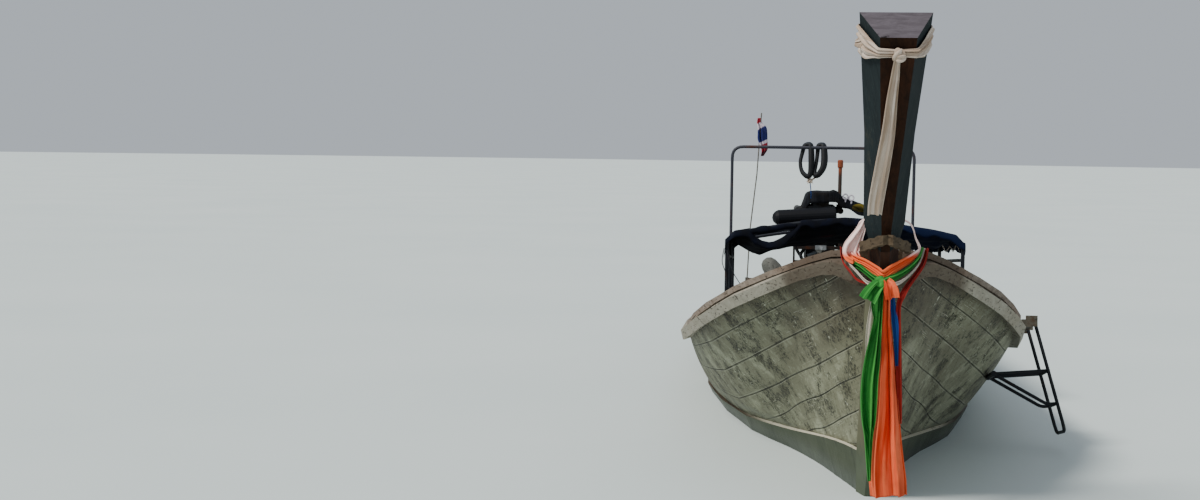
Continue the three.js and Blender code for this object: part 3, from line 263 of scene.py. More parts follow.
# Directions across a line that start near upright and turn as little as possible along it
def framesAlong(points):
    tangent = unit(np.gradient(points, axis=0))
    side = np.zeros_like(points)
    u = np.array([0.0, 0, 1])
    for k, t in enumerate(tangent):
        u = u - t * (u @ t)
        if np.linalg.norm(u) < 1e-6:
            u = np.cross(t, (1, 0, 0)) + 1e-3
        u = side[k] = unit(u)
    return side, np.cross(tangent, side)


# A tube of round or flattened section along a line, closed by small end cones
def tubePatch(points, radius, sides=10, flat=1.0, loop=False):
    points = np.asarray(points, float)
    n = len(points)
    r = np.broadcast_to(radius, (n,))[:, None, None]
    a, b = framesAlong(points)
    turn = np.linspace(0, 2 * np.pi, sides, endpoint=False)
    ring = np.cos(turn)[:, None] * a[:, None] * flat + np.sin(turn)[:, None] * b[:, None]
    body = (points[:, None] + ring * r).reshape(-1, 3)
    t = lengths(points)
    uv = paired(turn / (2 * np.pi), t[:, None]).reshape(-1, 2)
    faces = [quads(n, sides, wrapRows=loop, wrapColumns=True)]
    if not loop:
        body = np.vstack([body, points[0], points[-1]])
        uv = np.vstack([uv, [0, t[0]], [0, t[-1]]])
        j = np.arange(sides)
        k = (j + 1) % sides
        faces.append(np.stack([j, k, np.full(sides, n * sides)], -1))
        end = (n - 1) * sides
        faces.append(np.stack([end + k, end + j, np.full(sides, n * sides + 1)], -1))
    return body, faces, uv


# A closed skin from an outer and an inner grid of the same size
def shellPatch(outer, inner, uv=None):
    rows, columns = outer.shape[:2]
    count = rows * columns
    points = np.concatenate([outer.reshape(-1, 3), inner.reshape(-1, 3)])
    q = quads(rows, columns)
    up, down = np.arange(1, rows) * columns, np.arange(rows - 2, 0, -1) * columns
    edge = np.concatenate([np.arange(columns)[::-1], up, up[-1] + np.arange(1, columns), down + columns - 1])
    follow = np.roll(edge, -1)
    rim = np.stack([edge, follow, follow + count, edge + count], -1)
    both = None if uv is None else np.concatenate([uv.reshape(-1, 2)] * 2)
    return points, [q, q[:, ::-1] + count, rim[:, ::-1]], both


def gridNormals(grid):
    return unit(np.cross(np.gradient(grid, axis=0), np.gradient(grid, axis=1)))


# Cloth of one thickness about a grid
def clothPatch(grid, thick, uv):
    half = gridNormals(grid) * thick / 2
    return shellPatch(grid + half, grid - half, uv)


folded = {
    "columns": 41,
    "thick": 0.0012,
}


# Cloth that hangs in folds along a line of x, y, z and width: the line across it is folded to and fro by a wave, as
# deep as given and at most the share of the width
def foldedPatch(line, across, depth, share, folds, seed, drift=0.6):
    centre, width = line[:, :3], line[:, 3:]
    across = across * width
    deep = np.minimum(depth, width * share)
    k = np.linspace(-0.5, 0.5, folded["columns"])
    t = lengths(centre)
    phase = np.random.default_rng(seed).uniform(0, 6.28, 4)
    uneven = 0.11 * np.sin(2 * np.pi * 1.3 * k + phase[2])
    turn = 2 * np.pi * folds * (k + uneven) + phase[0] + drift * np.sin(2.1 * t[:, None] + phase[1])
    wave = np.arcsin(0.97 * np.sin(turn)) + 0.3 * np.sin(1.7 * turn + phase[2] + 1.3 * t[:, None])
    lean = 0.12 * np.sin(2 * turn + phase[3])
    face = unit(np.cross(np.gradient(centre, axis=0), across))
    grid = centre[:, None] + across[:, None] * (k + lean * 0.5 / folds)[..., None]
    grid = grid + face[:, None] * (wave * deep)[..., None]
    span = np.stack([lengths(row) for row in grid])
    return clothPatch(grid, folded["thick"], paired(span, t[:, None]))


# Hull lines, as the frame's: sheer s, half-breadth, height; chine the same; keel s, height; fullness
hullLines = np.array(
    [
        [-415, 62, 1060, 5, 60, 205, 215, -118, 0.6],
        [-345, 172, 1112, 190, 110, 200, 330, -158, 0.6],
        [-200, 262, 1086, 440, 180, 182, 520, -200, 0.6],
        [10, 375, 1030, 800, 268, 140, 850, -228, 0.66],
        [500, 630, 882, 1150, 370, 104, 1180, -248, 0.8],
        [1050, 812, 718, 1640, 560, 80, 1660, -264, 0.9],
        [1750, 905, 575, 2280, 705, 66, 2280, -278, 0.93],
        [2750, 945, 460, 3000, 805, 56, 3000, -288, 0.95],
        [3950, 955, 398, 3950, 835, 52, 3950, -290, 0.95],
        [5050, 905, 368, 5050, 785, 56, 5050, -276, 0.95],
        [6100, 805, 350, 6100, 690, 72, 6100, -240, 0.94],
        [7050, 700, 338, 7050, 595, 98, 7050, -184, 0.92],
        [7900, 598, 332, 7900, 505, 130, 7900, -112, 0.9],
    ]
)


# Row of the hull lines at u, which counts them from the stem
def hullRow(u):
    u = np.clip(np.asarray(u, float), 0, 12)
    i = np.minimum(u.astype(int), 11)
    t = (u - i)[..., None]
    b, c = hullLines[i], hullLines[i + 1]
    a = np.where((i == 0)[..., None], 2 * b - c, hullLines[np.maximum(i - 1, 0)])
    d = np.where((i == 11)[..., None], 2 * c - b, hullLines[np.minimum(i + 2, 12)])
    return smooth(a, b, c, d, t)


# Point of the hull's side, t from 0 at the chine to 1 at the sheer, and the side's width
def hullSide(u, t):
    r = hullRow(u)
    t = np.asarray(t, float)[..., None]
    low = np.stack([r[..., 4], r[..., 3], r[..., 5]], -1)
    high = np.stack([r[..., 1], r[..., 0], r[..., 2]], -1)
    db, dz = r[..., 1] - r[..., 4], r[..., 2] - r[..., 5]
    push = 44 * np.minimum(u, 3) / 3 / np.hypot(db, dz)
    middle = (low + high) / 2 + np.stack([push * dz, 0 * push, -push * db], -1)
    p = low * (1 - t) ** 2 + 2 * middle * t * (1 - t) + high * t**2
    p[..., 1] = (low * (1 - t) + high * t)[..., 1] + stemFoot * 1000
    return p / 1000, np.linalg.norm(low - high, axis=-1) / 1000


# Side planks: u of the fore and aft samples; stations as u and five seams' distances below the sheer; the grooves,
# the skin's two faces from the frame's, and how far it goes under the sheer and over the bottom
planks = {
    "fore": (0.002, 4, 200),
    "aft": (4, 11.998, 120),
    "stations": [
        [0.0, -0.015, 0.18, 0.37, 0.545, 0.725],
        [0.5, 0.066, 0.257, 0.459, 0.634, 0.82],
        [1.0, 0.13, 0.325, 0.537, 0.71, 0.905],
        [1.5, 0.167, 0.366, 0.59, 0.77, 0.975],
        [2.0, 0.19, 0.4, 0.64, 0.835, 1.045],
        [2.5, 0.22, 0.446, 0.705, 0.91, 1.13],
        [3.0, 0.249, 0.486, 0.757, 0.972, 1.2],
        [3.5, 0.263, 0.497, 0.763, 0.98, 1.22],
        [4.0, 0.268, 0.498, 0.75, 0.968, 1.2],
        [5.0, 0.27, 0.512, 0.766, 0.98, 1.22],
    ],
    "top": 0.2,
    "nominal": 0.22,
    "groove": 0.0022,
    "halfGroove": 0.0022,
    "outside": -0.018,
    "inside": -0.0438,
    "under": 0.0285,
    "over": 0.009,
}


# Share of the side's width at plank edge m, from its distance below the sheer at stations; constant aft of the last
def plankShare(u, m):
    rows = curveThrough(planks["stations"], 160)
    near = np.minimum(u, rows[-1, 0])
    _, width = hullSide(near, np.zeros_like(near))
    seams = np.stack([np.interp(near, rows[:, 0], rows[:, k]) for k in range(1, 6)], -1)
    first, last = seams[:, :1] - planks["top"], 2 * seams[:, -1:] - seams[:, -2:-1]
    seams = np.concatenate([first, seams, last, 2 * last - seams[:, -1:]], -1)
    low = np.clip(np.floor(m).astype(int), 0, 6)
    below = seams[:, low] + (seams[:, low + 1] - seams[:, low]) * (m - low)[None]
    return below / width[:, None]


# Side planking: the frame's surface with a groove at each seam; uv is metres along and below the sheer
def makePlanking():
    us = np.concatenate([np.linspace(*planks["fore"]), np.linspace(*planks["aft"])[1:]])
    w = planks["halfGroove"] / planks["nominal"]
    places = [-1.0, -0.5, 0.0]
    for k in range(6):
        places += [k + 0.25, k + 0.5, k + 0.75]
        if k:
            places += [k - 5 * w, k - w, k - 0.3 * w, k + 0.3 * w, k + w, k + 5 * w]
    marks = np.array(sorted(places + [6.2, 7.0]))
    _, width = hullSide(us, np.zeros_like(us))
    least = planks["under"] / width
    share = np.clip(plankShare(us, marks), least[:, None], (1 + planks["over"] / width)[:, None])
    grid, _ = hullSide(np.broadcast_to(us[:, None], share.shape), 1 - share)
    levels = np.linspace(0.02, 0.98, 9)
    sample, _ = hullSide(*np.broadcast_arrays(us[:, None], 1 - levels))
    rough = gridNormals(sample)
    rough = -rough if rough[100, 5, 0] < 0 else rough
    normal = np.stack([[np.interp(s, levels, n[:, k]) for k in range(3)] for row, n in zip(share, rough) for s in row])
    normal = unit(normal.reshape(grid.shape))
    seam = (np.abs(marks - np.round(marks)) < 0.5 * w) & (marks > 0.5) & (marks < 5.5)
    sunk = planks["groove"] * seam * (share < 0.99) * (share > least[:, None] + 0.001)
    uv = paired(lengths(grid[:, 0])[:, None], marks * planks["nominal"])
    outer = grid + normal * (planks["outside"] - sunk)[..., None]
    inner = grid + normal * planks["inside"]
    for side, name in ((1, "port"), (-1, "starboard")):
        flip = np.array([side, 1, 1])
        a, b = outer * flip, inner * flip
        patch = shellPatch(a, b, uv) if side > 0 else shellPatch(a[::-1], b[::-1], uv[::-1])
        build("planking." + name, [patch], plankPaint, replaces=["side_planking_" + name])


# Old paint on planks: a tone for each plank, patches of wear, grain along it, dark seams with painted highlights
# beside each, butts and nail rows, grime and painted shade under the rail, and damp green with painted shade by the
# water
def plankLook(p, normal, uv):
    along, below = uv.part(0), uv.part(1)
    each = planks["nominal"]
    index = (below / each).floor()
    tone = (index * 7.3 + 2.1).hash()
    grain = uv.stretch(2.2, 46, 1).noise(1.4, 6, 0.62, 0.4)
    broad = p.stretch(1, 1, 1.4).noise(2.3, 5, 0.62)
    patchy = p.stretch(1.6, 1.6, 1.6).noise(3.3, 8, 0.72, 0.3)
    blotch = p.noise(7.5, 7, 0.74)
    fine = p.noise(38, 5, 0.7)
    speck = p.noise(75, 3, 0.75)
    wear = (broad + fine * 0.28 + grain * 0.2).ramp(0.7, 0.9)
    base = blend("565440", "85866e", tone * 0.3 + broad * 0.9 - 0.2 + below * 0.18)
    base = blend(base, "3a3824", blotch.ramp(0.5, 0.62) * 0.6)
    base = blend(base, "a3a68f", blotch.ramp(0.46, 0.36) * 0.4 + wear * 0.35)
    base = blend(base, "2a2816", patchy.ramp(0.53, 0.64) * 0.7)
    base = blend(base, "34311e", grain.ramp(0.54, 0.74) * 0.5)
    # Dark runs that grow towards the sheer: grime, and painted shade of the rail
    runs = p.stretch(15, 15, 0.8).noise(1.3, 3, 0.5).ramp(0.58, 0.7)
    base = blend(base, "23210f", runs * below.ramp(0.7, 0.0) * 0.4)
    # Brown stain near the stem; the dark brown just under the rail is grime and painted shade of the rail
    stem = (along * 0.62 + patchy * 1.1 - 0.3).ramp(0.95, 0.2)
    base = blend(base, "33261a", stem * below.ramp(0.75, 0.3) * 0.8 + below.ramp(0.28, 0.05) * patchy * 0.9)
    mould = (patchy * 0.5 + blotch * 0.6).ramp(0.54, 0.6) * speck.ramp(0.5, 0.57)
    base = blend(base, "14130a", mould * 0.85)
    scratch = uv.stretch(3, 60, 1).noise(3.1, 2, 0.5, 1.2).ramp(0.65, 0.69)
    base = blend(base, "c6c6b4", scratch * broad.ramp(0.4, 0.6) * 0.55)
    spots = p.noise(26, 3, 0.6).ramp(0.66, 0.71)
    base = blend(base, "c0c2ae", spots * patchy.ramp(0.44, 0.56) * 0.5)
    gap = below.nearest(each)
    seam = 1 - gap.ramp(0.0012, 0.0062)
    caulk = (p.noise(7, 4, 0.7) * 1.5 - 0.12).clip()
    shift = index * 0.83 + along
    butt = (1 - shift.nearest(2.6).ramp(0.0015, 0.004)) * 0.8
    base = blend(base, "1c190f", seam.most(butt) * caulk)
    # Pale lines 9 mm to either side of each seam: a painted highlight on the plank edges
    edge = (1 - (gap - 0.009).abs().ramp(0.001, 0.004)) * grain.ramp(0.45, 0.6) * 0.3
    base = blend(base, "b9b9a6", edge)
    row = ((shift.nearest(0.31) ** 2 + (gap - 0.024).abs() ** 2) ** 0.5).ramp(0.003, 0.0055)
    base = blend(base, blend("2a2419", base, row), caulk * 0.7)
    # Dark damp green low down: damp paint, and painted shade and reflection of the water
    aboveWater = p.part(2) + broad * 0.09
    base = blend("2f352a", base, aboveWater.ramp(0.03, 0.17))
    base = blend("6f7263", base, (aboveWater - 0.175).abs().ramp(0.004, 0.03) * 0.6 + 0.4)
    rough = (wear * 0.2 + 0.66 - (1 - aboveWater.ramp(0.0, 0.1)) * 0.25).clip()
    height = grain * 0.5 + fine * 0.4 + blotch * 0.5 + speck * 0.15 - seam * 1.2 - butt
    return base, rough, height, 0.003


# Bottom strake: dark weed green with painted shade by the water, bare light wood on the ledge that faces up, brown
# inside the hull
def bottomLook(p, normal):
    z = p.part(2)
    broad = p.noise(2.6, 5, 0.62)
    fine = p.noise(30, 5, 0.7)
    grain = p.stretch(9, 1.2, 26).noise(2.0, 5, 0.6, 0.5)
    base = blend("2b3225", "515846", broad * 1.1 - 0.1 + grain * 0.2)
    # Darker green low down: weed, and painted shade and reflection of the water
    base = blend(base, "222c22", (z + broad * 0.16).ramp(0.2, 0.06) * 0.75)
    line = (fine * 0.5 + broad).ramp(0.42, 0.6)
    inward = (p.part(0) * normal.part(0)).ramp(-0.01, -0.05)
    ledge = z.ramp(0.075, 0.1) * (1 - inward)
    base = blend(base, "b9b5a2", normal.part(2).ramp(0.25, 0.7) * line * ledge)
    inside = normal.part(2).ramp(0.3, 0.6) * (1 - ledge)
    base = blend(base, blend("241c14", "5a4c3a", (grain * 1.5 - 0.35).clip()), inside)
    base = blend(base, "20241c", p.stretch(11, 11, 1).noise(1.5, 3).ramp(0.57, 0.7) * 0.5)
    rough = (z.ramp(0.02, 0.14) * 0.35 + 0.38 + fine * 0.1).clip()
    return base, rough, grain * 0.5 + fine * 0.6, 0.0035


# Bare timber: pale over dark by its long grain along y, brown patches, dark checks and spots, and a stain at the stem
def timberLook(codes, amount=0.5, stained=0.0):
    pale, dark, brown = codes.split()

    def look(p, normal):
        grain = p.stretch(24, 1.5, 24).noise(1.5, 7, 0.66, 0.7)
        broad = p.noise(2.1, 4, 0.6)
        fine = p.noise(30, 3, 0.6)
        base = blend(dark, pale, grain * 1.7 - 0.5 + broad * 0.35)
        base = blend(base, brown, broad.ramp(0.42, 0.68) * amount)
        check = p.stretch(50, 1.1, 50).noise(1.7, 3, 0.5).ramp(0.6, 0.66)
        base = blend(base, "2a241b", check * 0.6)
        spots = p.noise(17, 2, 0.5).ramp(0.7, 0.74)
        base = blend(base, "2e281f", spots * 0.7)
        stem = (p.part(1) + broad * 0.5).ramp(-3.08, -3.24)
        base = blend(base, "3a2b1d", stem * (0.5 + grain * 0.6) * stained)
        height = grain + fine * 0.15 - check * 1.2
        return base, (0.72 + fine * 0.2).clip(), height, 0.0025

    return look


# Stem: the bottom's green paint low down, planks' olive above it, and red-brown bare wood near the post
def stemLook(p, normal):
    grain = p.stretch(22, 22, 2).noise(1.6, 6, 0.65, 0.5)
    broad = p.noise(3.4, 6, 0.65)
    z = p.part(2) + broad * 0.12
    base = blend("2f382b", "5d6453", broad * 1.1 - 0.1 + grain * 0.2)
    olive = blend("45432f", "6f6f5a", broad + grain * 0.4 - 0.25)
    base = blend(base, olive, z.ramp(0.2, 0.35))
    bare = blend("1a0f0a", "4a2d1c", grain * 1.5 - 0.35)
    base = blend(base, bare, z.ramp(0.98, 1.03))
    return base, 0.8, grain + broad * 0.5, 0.002


# Post: near-black green paint on the sides, red-brown bare wood in front, a grey weathered top with stains
def postLook(p, normal):
    grain = p.stretch(26, 26, 1.6).noise(1.6, 7, 0.66, 0.6)
    broad = p.noise(3.2, 5, 0.6)
    fine = p.noise(48, 5, 0.7)
    paint = blend("12181a", "2a3335", grain * 0.9 + broad * 0.5 - 0.35)
    paint = blend(paint, "3d3c33", (broad + fine * 0.25).ramp(0.68, 0.84) * 0.6)
    scuff = p.stretch(40, 40, 2.2).noise(2.6, 4, 0.6).ramp(0.64, 0.7)
    paint = blend(paint, "4d5149", scuff * broad * 0.7)
    bare = blend("180d09", "422819", grain * 1.5 - 0.35)
    bare = blend(bare, "14100d", broad.ramp(0.4, 0.62) * 0.6)
    front = (0.0 - normal.part(1)).ramp(0.55, 0.8)
    base = blend(paint, bare, front)
    top = normal.part(2).ramp(0.5, 0.75)
    ends = p.stretch(9, 30, 30).noise(1.5, 6, 0.7, 0.5)
    cut = blend("3d383c", "69636a", ends * 1.5 - 0.25)
    cut = blend(cut, "171516", p.noise(11, 4, 0.6).ramp(0.6, 0.66) * 0.9)
    cut = blend(cut, "b4b0b0", p.noise(16, 2, 0.5).ramp(0.71, 0.74))
    base = blend(base, cut, top)
    rough = (0.65 + broad * 0.25 + top * 0.1).clip()
    return base, rough, grain * 0.8 + fine * 0.35, 0.0025


# Painted or bare metal: a base tone mottled with wear, lighter where it faces up from wear and a painted highlight of
# the sky, speckled rust where two noises meet, and fine pitting
def metalLook(codes, amount, gloss=0.42):
    base, wearAndSheen, rust = codes.split()

    def look(p, normal):
        broad = p.noise(6, 5, 0.62)
        fine = p.noise(70, 4, 0.7)
        spots = (broad + fine * 0.3).ramp(0.76 - 0.25 * amount, 0.9 - 0.2 * amount)
        color = blend(base, wearAndSheen, broad * 0.9 + fine * 0.3 - 0.3)
        # Faces that look up take the pale tone: wear, and a painted highlight of the sky
        color = blend(color, wearAndSheen, normal.part(2).ramp(0.3, 0.9) * (0.35 + broad * 0.4))
        color = blend(color, rust, spots * 0.85)
        rough = (gloss + fine * 0.12 + spots * 0.4).clip()
        return color, rough, fine * 0.5 + spots * 0.8, 0.0008

    return look


# Woven cloth: warp and weft waves in uv, painted highlights in paler streaks along its folds, and soft dirt
def clothLook(codes, shade, weave=900, across=55, along=3):
    base, pale, dirt = codes.split()

    def look(p, normal, uv):
        warp = (uv.part(0) * (6.2832 * weave)).sin()
        weft = (uv.part(1) * (6.2832 * weave)).sin()
        broad = p.noise(5, 4, 0.6)
        streak = uv.stretch(across, along, 1).noise(1.4, 4, 0.6)
        # Paler streaks along the folds: painted highlights of the fold ridges, over paler patches at random
        color = blend(base, pale, streak.ramp(0.36, 0.62) * 0.75 + broad * 0.5 - 0.2)
        color = blend(color, dirt, broad.ramp(0.48, 0.7) * shade)
        height = warp * weft * 0.25 + streak * 0.9
        return color, (0.78 + broad * 0.2).clip(), height, 0.0008

    return look


# Stack: brown-black pipe that turns to orange rust at its top
def stackLook(p, normal):
    broad = p.noise(14, 5, 0.65)
    fine = p.noise(80, 4, 0.7)
    base = blend("241d19", "4d3a30", broad * 1.4 - 0.3)
    top = (p.part(2) + broad * 0.08).ramp(1.33, 1.4)
    base = blend(base, "8a4526", top * (0.55 + fine * 0.7))
    return base, (0.65 + fine * 0.25).clip(), fine + broad, 0.0012


# Plain surfaces: name, look, shine, the nodes that wear it, and its share of metal
plain = [
    ("bottomPaint", bottomLook, 0.25, "bottom_planking"),
    ("railTimber", timberLook("a8a395 7d776a 857a66", 0.3, stained=1.0), 0.2, "rubrail_port rubrail_starboard"),
    ("bittTimber", timberLook("6f706b 3f403c 55504a", 0.3), 0.2, "mooring_post"),
    (
        "capTimber",
        timberLook("8f8478 5a4e42 6b5140", stained=0.8),
        0.2,
        "gunwale_cap_port gunwale_cap_starboard",
    ),
    ("postPaint", postLook, 0.08, "prow_post"),
    ("stemPaint", stemLook, 0.2, "backbone"),
    ("transomPaint", timberLook("8d8d7b 55553f 5d5038"), 0.5, "transom"),
    (
        "innerTimber",
        timberLook("564838 241b13 35271b"),
        0.15,
        "floor_frames_fore floor_frames_mid floor_frames_aft framing_port framing_starboard foredeck aft_deck "
        "floorboards engine_beam bow_beam thwart_1 thwart_2 thwart_3 thwart_4 thwart_5",
    ),
    ("hoopSteel", metalLook("22242e 3f4048 4a2c1f", 0.35, 0.5), 0.3, "stern_hoop"),
    ("frameSteel", metalLook("07090e 1b212d 2a1c15", 0.25, 0.5), 0.25, "canopy_frame"),
    ("ladderSteel", metalLook("06080c 151d27 2a1c15", 0.2, 0.5), 0.3, "ladder"),
    (
        "rustedSteel",
        metalLook("15110f 2b211b 3d2013", 0.6, 0.7),
        0.2,
        "swivel_base yoke engine_frame exhaust_manifold",
    ),
    (
        "castIron",
        metalLook("08090a 1a1c1e 261a12", 0.4, 0.6),
        0.25,
        "engine_block oil_pan gearbox belt_drive starter",
    ),
    (
        "castAlloy",
        metalLook("1b1d1f 45484a 2b241c", 0.5, 0.55),
        0.3,
        "cylinder_head flywheel_housing intake_manifold generator",
    ),
    ("blackGloss", metalLook("020307 070a13 100d0b", 0.1, 0.55), 0.2, "silencer"),
    ("galvanised", metalLook("7b8083 a8acae 6d5846", 0.3), 0.5, "tiller tail_tube tail_fin", 0.7),
    ("bronze", metalLook("8a6a3c c0a066 4d5a45", 0.3, 0.35), 0.5, "propeller", 0.8),
    ("hingeSteel", metalLook("3b3932 5b584c 3d2c1f", 0.5, 0.6), 0.2, "ladder_hinge"),
    ("staffPaint", timberLook("7b766e 3d3a36 4b4036", 0.4), 0.5, "flag_staff"),
    ("stackRust", stackLook, 0.5, "exhaust_stack", 0.3),
]
plankPaint = surface("plankPaint", plankLook, 0.25, uv=True)
for name, look, shine, wearers, *metal in plain:
    material = surface(name, look, shine, *metal)
    for wearer in wearers.split():
        nodes[wearer].data.materials.clear()
        nodes[wearer].data.materials.append(material)
print("surfaces")
makePlanking()
print("planking")

# Cloth of the ribbons: base, a pale tone for painted fold highlights and paler patches, and dirt of each
dyes = {
    "orange": "c32a06 ff7e50 7e1d06",
    "green": "0f5a1a 55b552 083010",
    "white": "b3a89b e6ded6 6d5c4f",
    "red": "7a1412 b8342a 300808",
    "blue": "0c2a66 2c5ca8 081230",
    "sash": "a8907a dccfc2 7a563c",
}
clothPaint = {}
for key, codes in dyes.items():
    look = clothLook(codes, 0.35, across=14 if key == "orange" else 26, along=0.8)
    clothPaint[key] = surface(key + "Cloth", look, 0.2, uv=True)


# Pink cloth that turns orange towards the knot, by its height, with painted highlights as lighter streaks on folds
def turningLook(p, normal, uv):
    streak = uv.stretch(60, 3, 1).noise(1.4, 4, 0.6)
    broad = p.noise(9, 4, 0.6)
    # Lighter streaks along the folds in both tones: painted highlights
    pale = blend("e9b9b0", "fff2ef", streak * 1.5 - 0.25)
    deep = blend("cf3f17", "ff8550", streak * 1.3 - 0.2)
    low = (1.118 - p.part(2) + broad * 0.03 - 0.015).ramp(0.0, 0.028)
    return blend(pale, deep, low), 0.85, streak, 0.0008


clothPaint["turning"] = surface("turningCloth", turningLook, 0.2, uv=True)


# Reads the areas of a cloth's faces and does nothing more with them; the line it follows is not used
def sheet(piece, line, held, *rests):
    area = np.zeros(len(piece.data.polygons), np.float32)
    piece.data.polygons.foreach_get("area", area)


# A folded cloth along a line of x, y, z and width
def hang(name, line, across, folds, paint, slot, held, *rests, replaces=()):
    piece = build(name, [foldedPatch(line, across, *folds)], paint, replaces=replaces)
    sheet(piece, line[:, :3], held, *rests)


knotted = {
    "around": 36,
    "along": 22,
    "pole": 0.02,
}


# Lump of wrapped cloth: a ball pulled into folds that run round its axis
def knotPatch(centre, radii, axis, folds, depth, seed):
    rng = np.random.default_rng(seed)
    around = np.linspace(0, 2 * np.pi, knotted["around"], endpoint=False)
    along = np.linspace(knotted["pole"], np.pi - knotted["pole"], knotted["along"])
    polar, turn = np.meshgrid(along, around, indexing="ij")
    wave = 1 + depth * np.sin(folds * turn + 2.2 * polar + rng.uniform(0, 6)) * np.sin(polar)
    wave = wave + 0.5 * depth * np.sin(2 * polar + 3 * turn + rng.uniform(0, 6)) * np.sin(polar)
    axis = unit(np.array(axis, float))
    side = unit(np.cross(axis, (0.3, 1, 0.1)))
    grid = np.zeros((*turn.shape, 3))
    parts = (np.sin(polar) * np.cos(turn), np.sin(polar) * np.sin(turn), np.cos(polar))
    for share, radius, way in zip(parts, radii, (side, np.cross(axis, side), axis)):
        grid += (share * wave * radius)[..., None] * way
    grid += np.asarray(centre)
    rows, columns = turn.shape
    j = np.arange(columns)
    k = (j + 1) % columns
    end = (rows - 1) * columns
    foot = np.stack([k, j, np.full(columns, rows * columns)], -1)
    head = np.stack([end + j, end + k, np.full(columns, rows * columns + 1)], -1)
    points = np.vstack([grid.reshape(-1, 3), grid[0].mean(0), grid[-1].mean(0)])
    uv = np.vstack([np.stack([turn * radii[0], polar * radii[2]], -1).reshape(-1, 2), [[0, 0], [0, 0]]])
    return points, [quads(rows, columns, wrapColumns=True), foot, head], uv


# Ribbons: name, cloth, what it rests on, direction across, depth of folds, folds, samples, seed, and its line as x,
# y, z and width in millimetres
ribbons = [
    ("greenLeft", "green", "gunwale_cap_starboard", (-0.45, 0.1, 1), 0.004, 2.2, 50, 3, [
        (-152, -3868, 1119, 20), (-136, -3922, 1078, 28), (-90, -3990, 1050, 32), (-47, -4055, 1018, 36),
        (-21, -4082, 1003, 34),
    ]),
    ("greenRight", "green", "gunwale_cap_port", (0.45, 0.1, 1), 0.004, 2.2, 50, 5, [
        (-12, -4082, 999, 34), (42, -4056, 1017, 34), (100, -3990, 1047, 30), (143, -3925, 1085, 26),
        (166, -3868, 1124, 18),
    ]),
    ("whiteLeft", "white", "gunwale_cap_starboard", (-0.5, 0.1, 1), 0.002, 1.3, 50, 6, [
        (-158, -3862, 1122, 12), (-141, -3925, 1068, 14), (-107, -3992, 1030, 18), (-72, -4060, 996, 20),
        (-34, -4078, 982, 16),
    ]),
    ("whiteRight", "white", "gunwale_cap_port", (0.5, 0.1, 1), 0.002, 1.3, 50, 7, [
        (10, -4075, 982, 14), (60, -4060, 999, 18), (109, -3990, 1031, 16), (150, -3930, 1074, 14),
        (174, -3862, 1124, 12),
    ]),
    ("redLeft", "red", "gunwale_cap_starboard", (-0.5, 0.1, 1), 0.002, 1.3, 50, 8, [
        (-170, -3852, 1123, 14), (-162, -3905, 1066, 18), (-134, -3958, 1028, 18), (-108, -4004, 1000, 12),
        (-70, -4045, 988, 10),
    ]),
    ("redRight", "red", "gunwale_cap_port", (1, 0, 0.45), 0.003, 1.5, 90, 9, [
        (186, -3850, 1126, 14), (168, -3906, 1070, 18), (135, -3960, 1026, 22), (98, -4012, 984, 24),
        (72, -4050, 945, 24), (58, -4060, 900, 20), (60, -4050, 803, 22), (66, -4048, 640, 24),
        (72, -4046, 517, 20), (78, -4046, 420, 10),
    ]),
    ("greenTail", "green", "backbone", (1, 0.1, 0), 0.014, 1.9, 120, 11, [
        (-21, -4085, 995, 30), (-26, -4090, 926, 36), (-29, -4092, 846, 36), (-38, -4092, 764, 50),
        (-47, -4092, 683, 64), (-55, -4092, 601, 68), (-57, -4092, 520, 68), (-55, -4090, 438, 56),
        (-53, -4085, 375, 36), (-49, -4082, 273, 22), (-44, -4080, 186, 12),
    ]),
    ("orangeTail", "orange", "backbone", (1, -0.08, 0), 0.02, 1.9, 130, 21, [
        (12, -4070, 985, 34), (10, -4070, 926, 34), (10, -4070, 845, 38), (13, -4070, 763, 50),
        (18, -4070, 682, 62), (19, -4070, 600, 74), (22, -4070, 519, 88), (24, -4070, 437, 104),
        (25, -4070, 355, 122), (28, -4070, 273, 138), (35, -4070, 191, 150), (41, -4070, 124, 148),
    ]),
    ("whiteTail", "white", "backbone", (1, 0, 0), 0.002, 1.2, 50, 13, [
        (-35, -4078, 975, 12), (-47, -4082, 926, 12), (-57, -4082, 864, 14), (-64, -4080, 783, 16),
        (-66, -4078, 690, 12),
    ]),
    ("blueTail", "blue", "backbone", (1, 0, 0), 0.003, 1.4, 60, 14, [
        (24, -4060, 985, 16), (31, -4062, 942, 18), (37, -4062, 885, 22), (45, -4060, 830, 26),
        (51, -4058, 763, 20), (56, -4056, 657, 12),
    ]),
    ("rise", "turning", "gunwale_cap_starboard", (1, 0.15, 0.35), 0.01, 2.4, 60, 17, [
        (-78, -3960, 1250, 8), (-88, -3945, 1215, 26), (-108, -3935, 1170, 50), (-126, -3930, 1130, 70),
        (-128, -3935, 1100, 66), (-108, -3965, 1078, 40),
    ]),
    ("bow", "green", "backbone", (0.8, 0.2, -0.55), 0.012, 1.3, 60, 15, [
        (-18, -4100, 1002, 28), (-36, -4112, 985, 46), (-56, -4118, 958, 60), (-72, -4114, 928, 66),
    ]),
    ("bowTail", "green", "backbone", (1, 0.2, 0.1), 0.006, 1.5, 50, 18, [
        (-22, -4090, 995, 26), (-34, -4100, 960, 30), (-38, -4100, 910, 34), (-36, -4096, 860, 20),
    ]),
    ("orangeBow", "orange", "backbone", (1, 0.1, 0.2), 0.012, 1.4, 60, 16, [
        (0, -4100, 1006, 34), (12, -4113, 990, 52), (21, -4117, 966, 62), (27, -4112, 936, 60),
    ]),
]

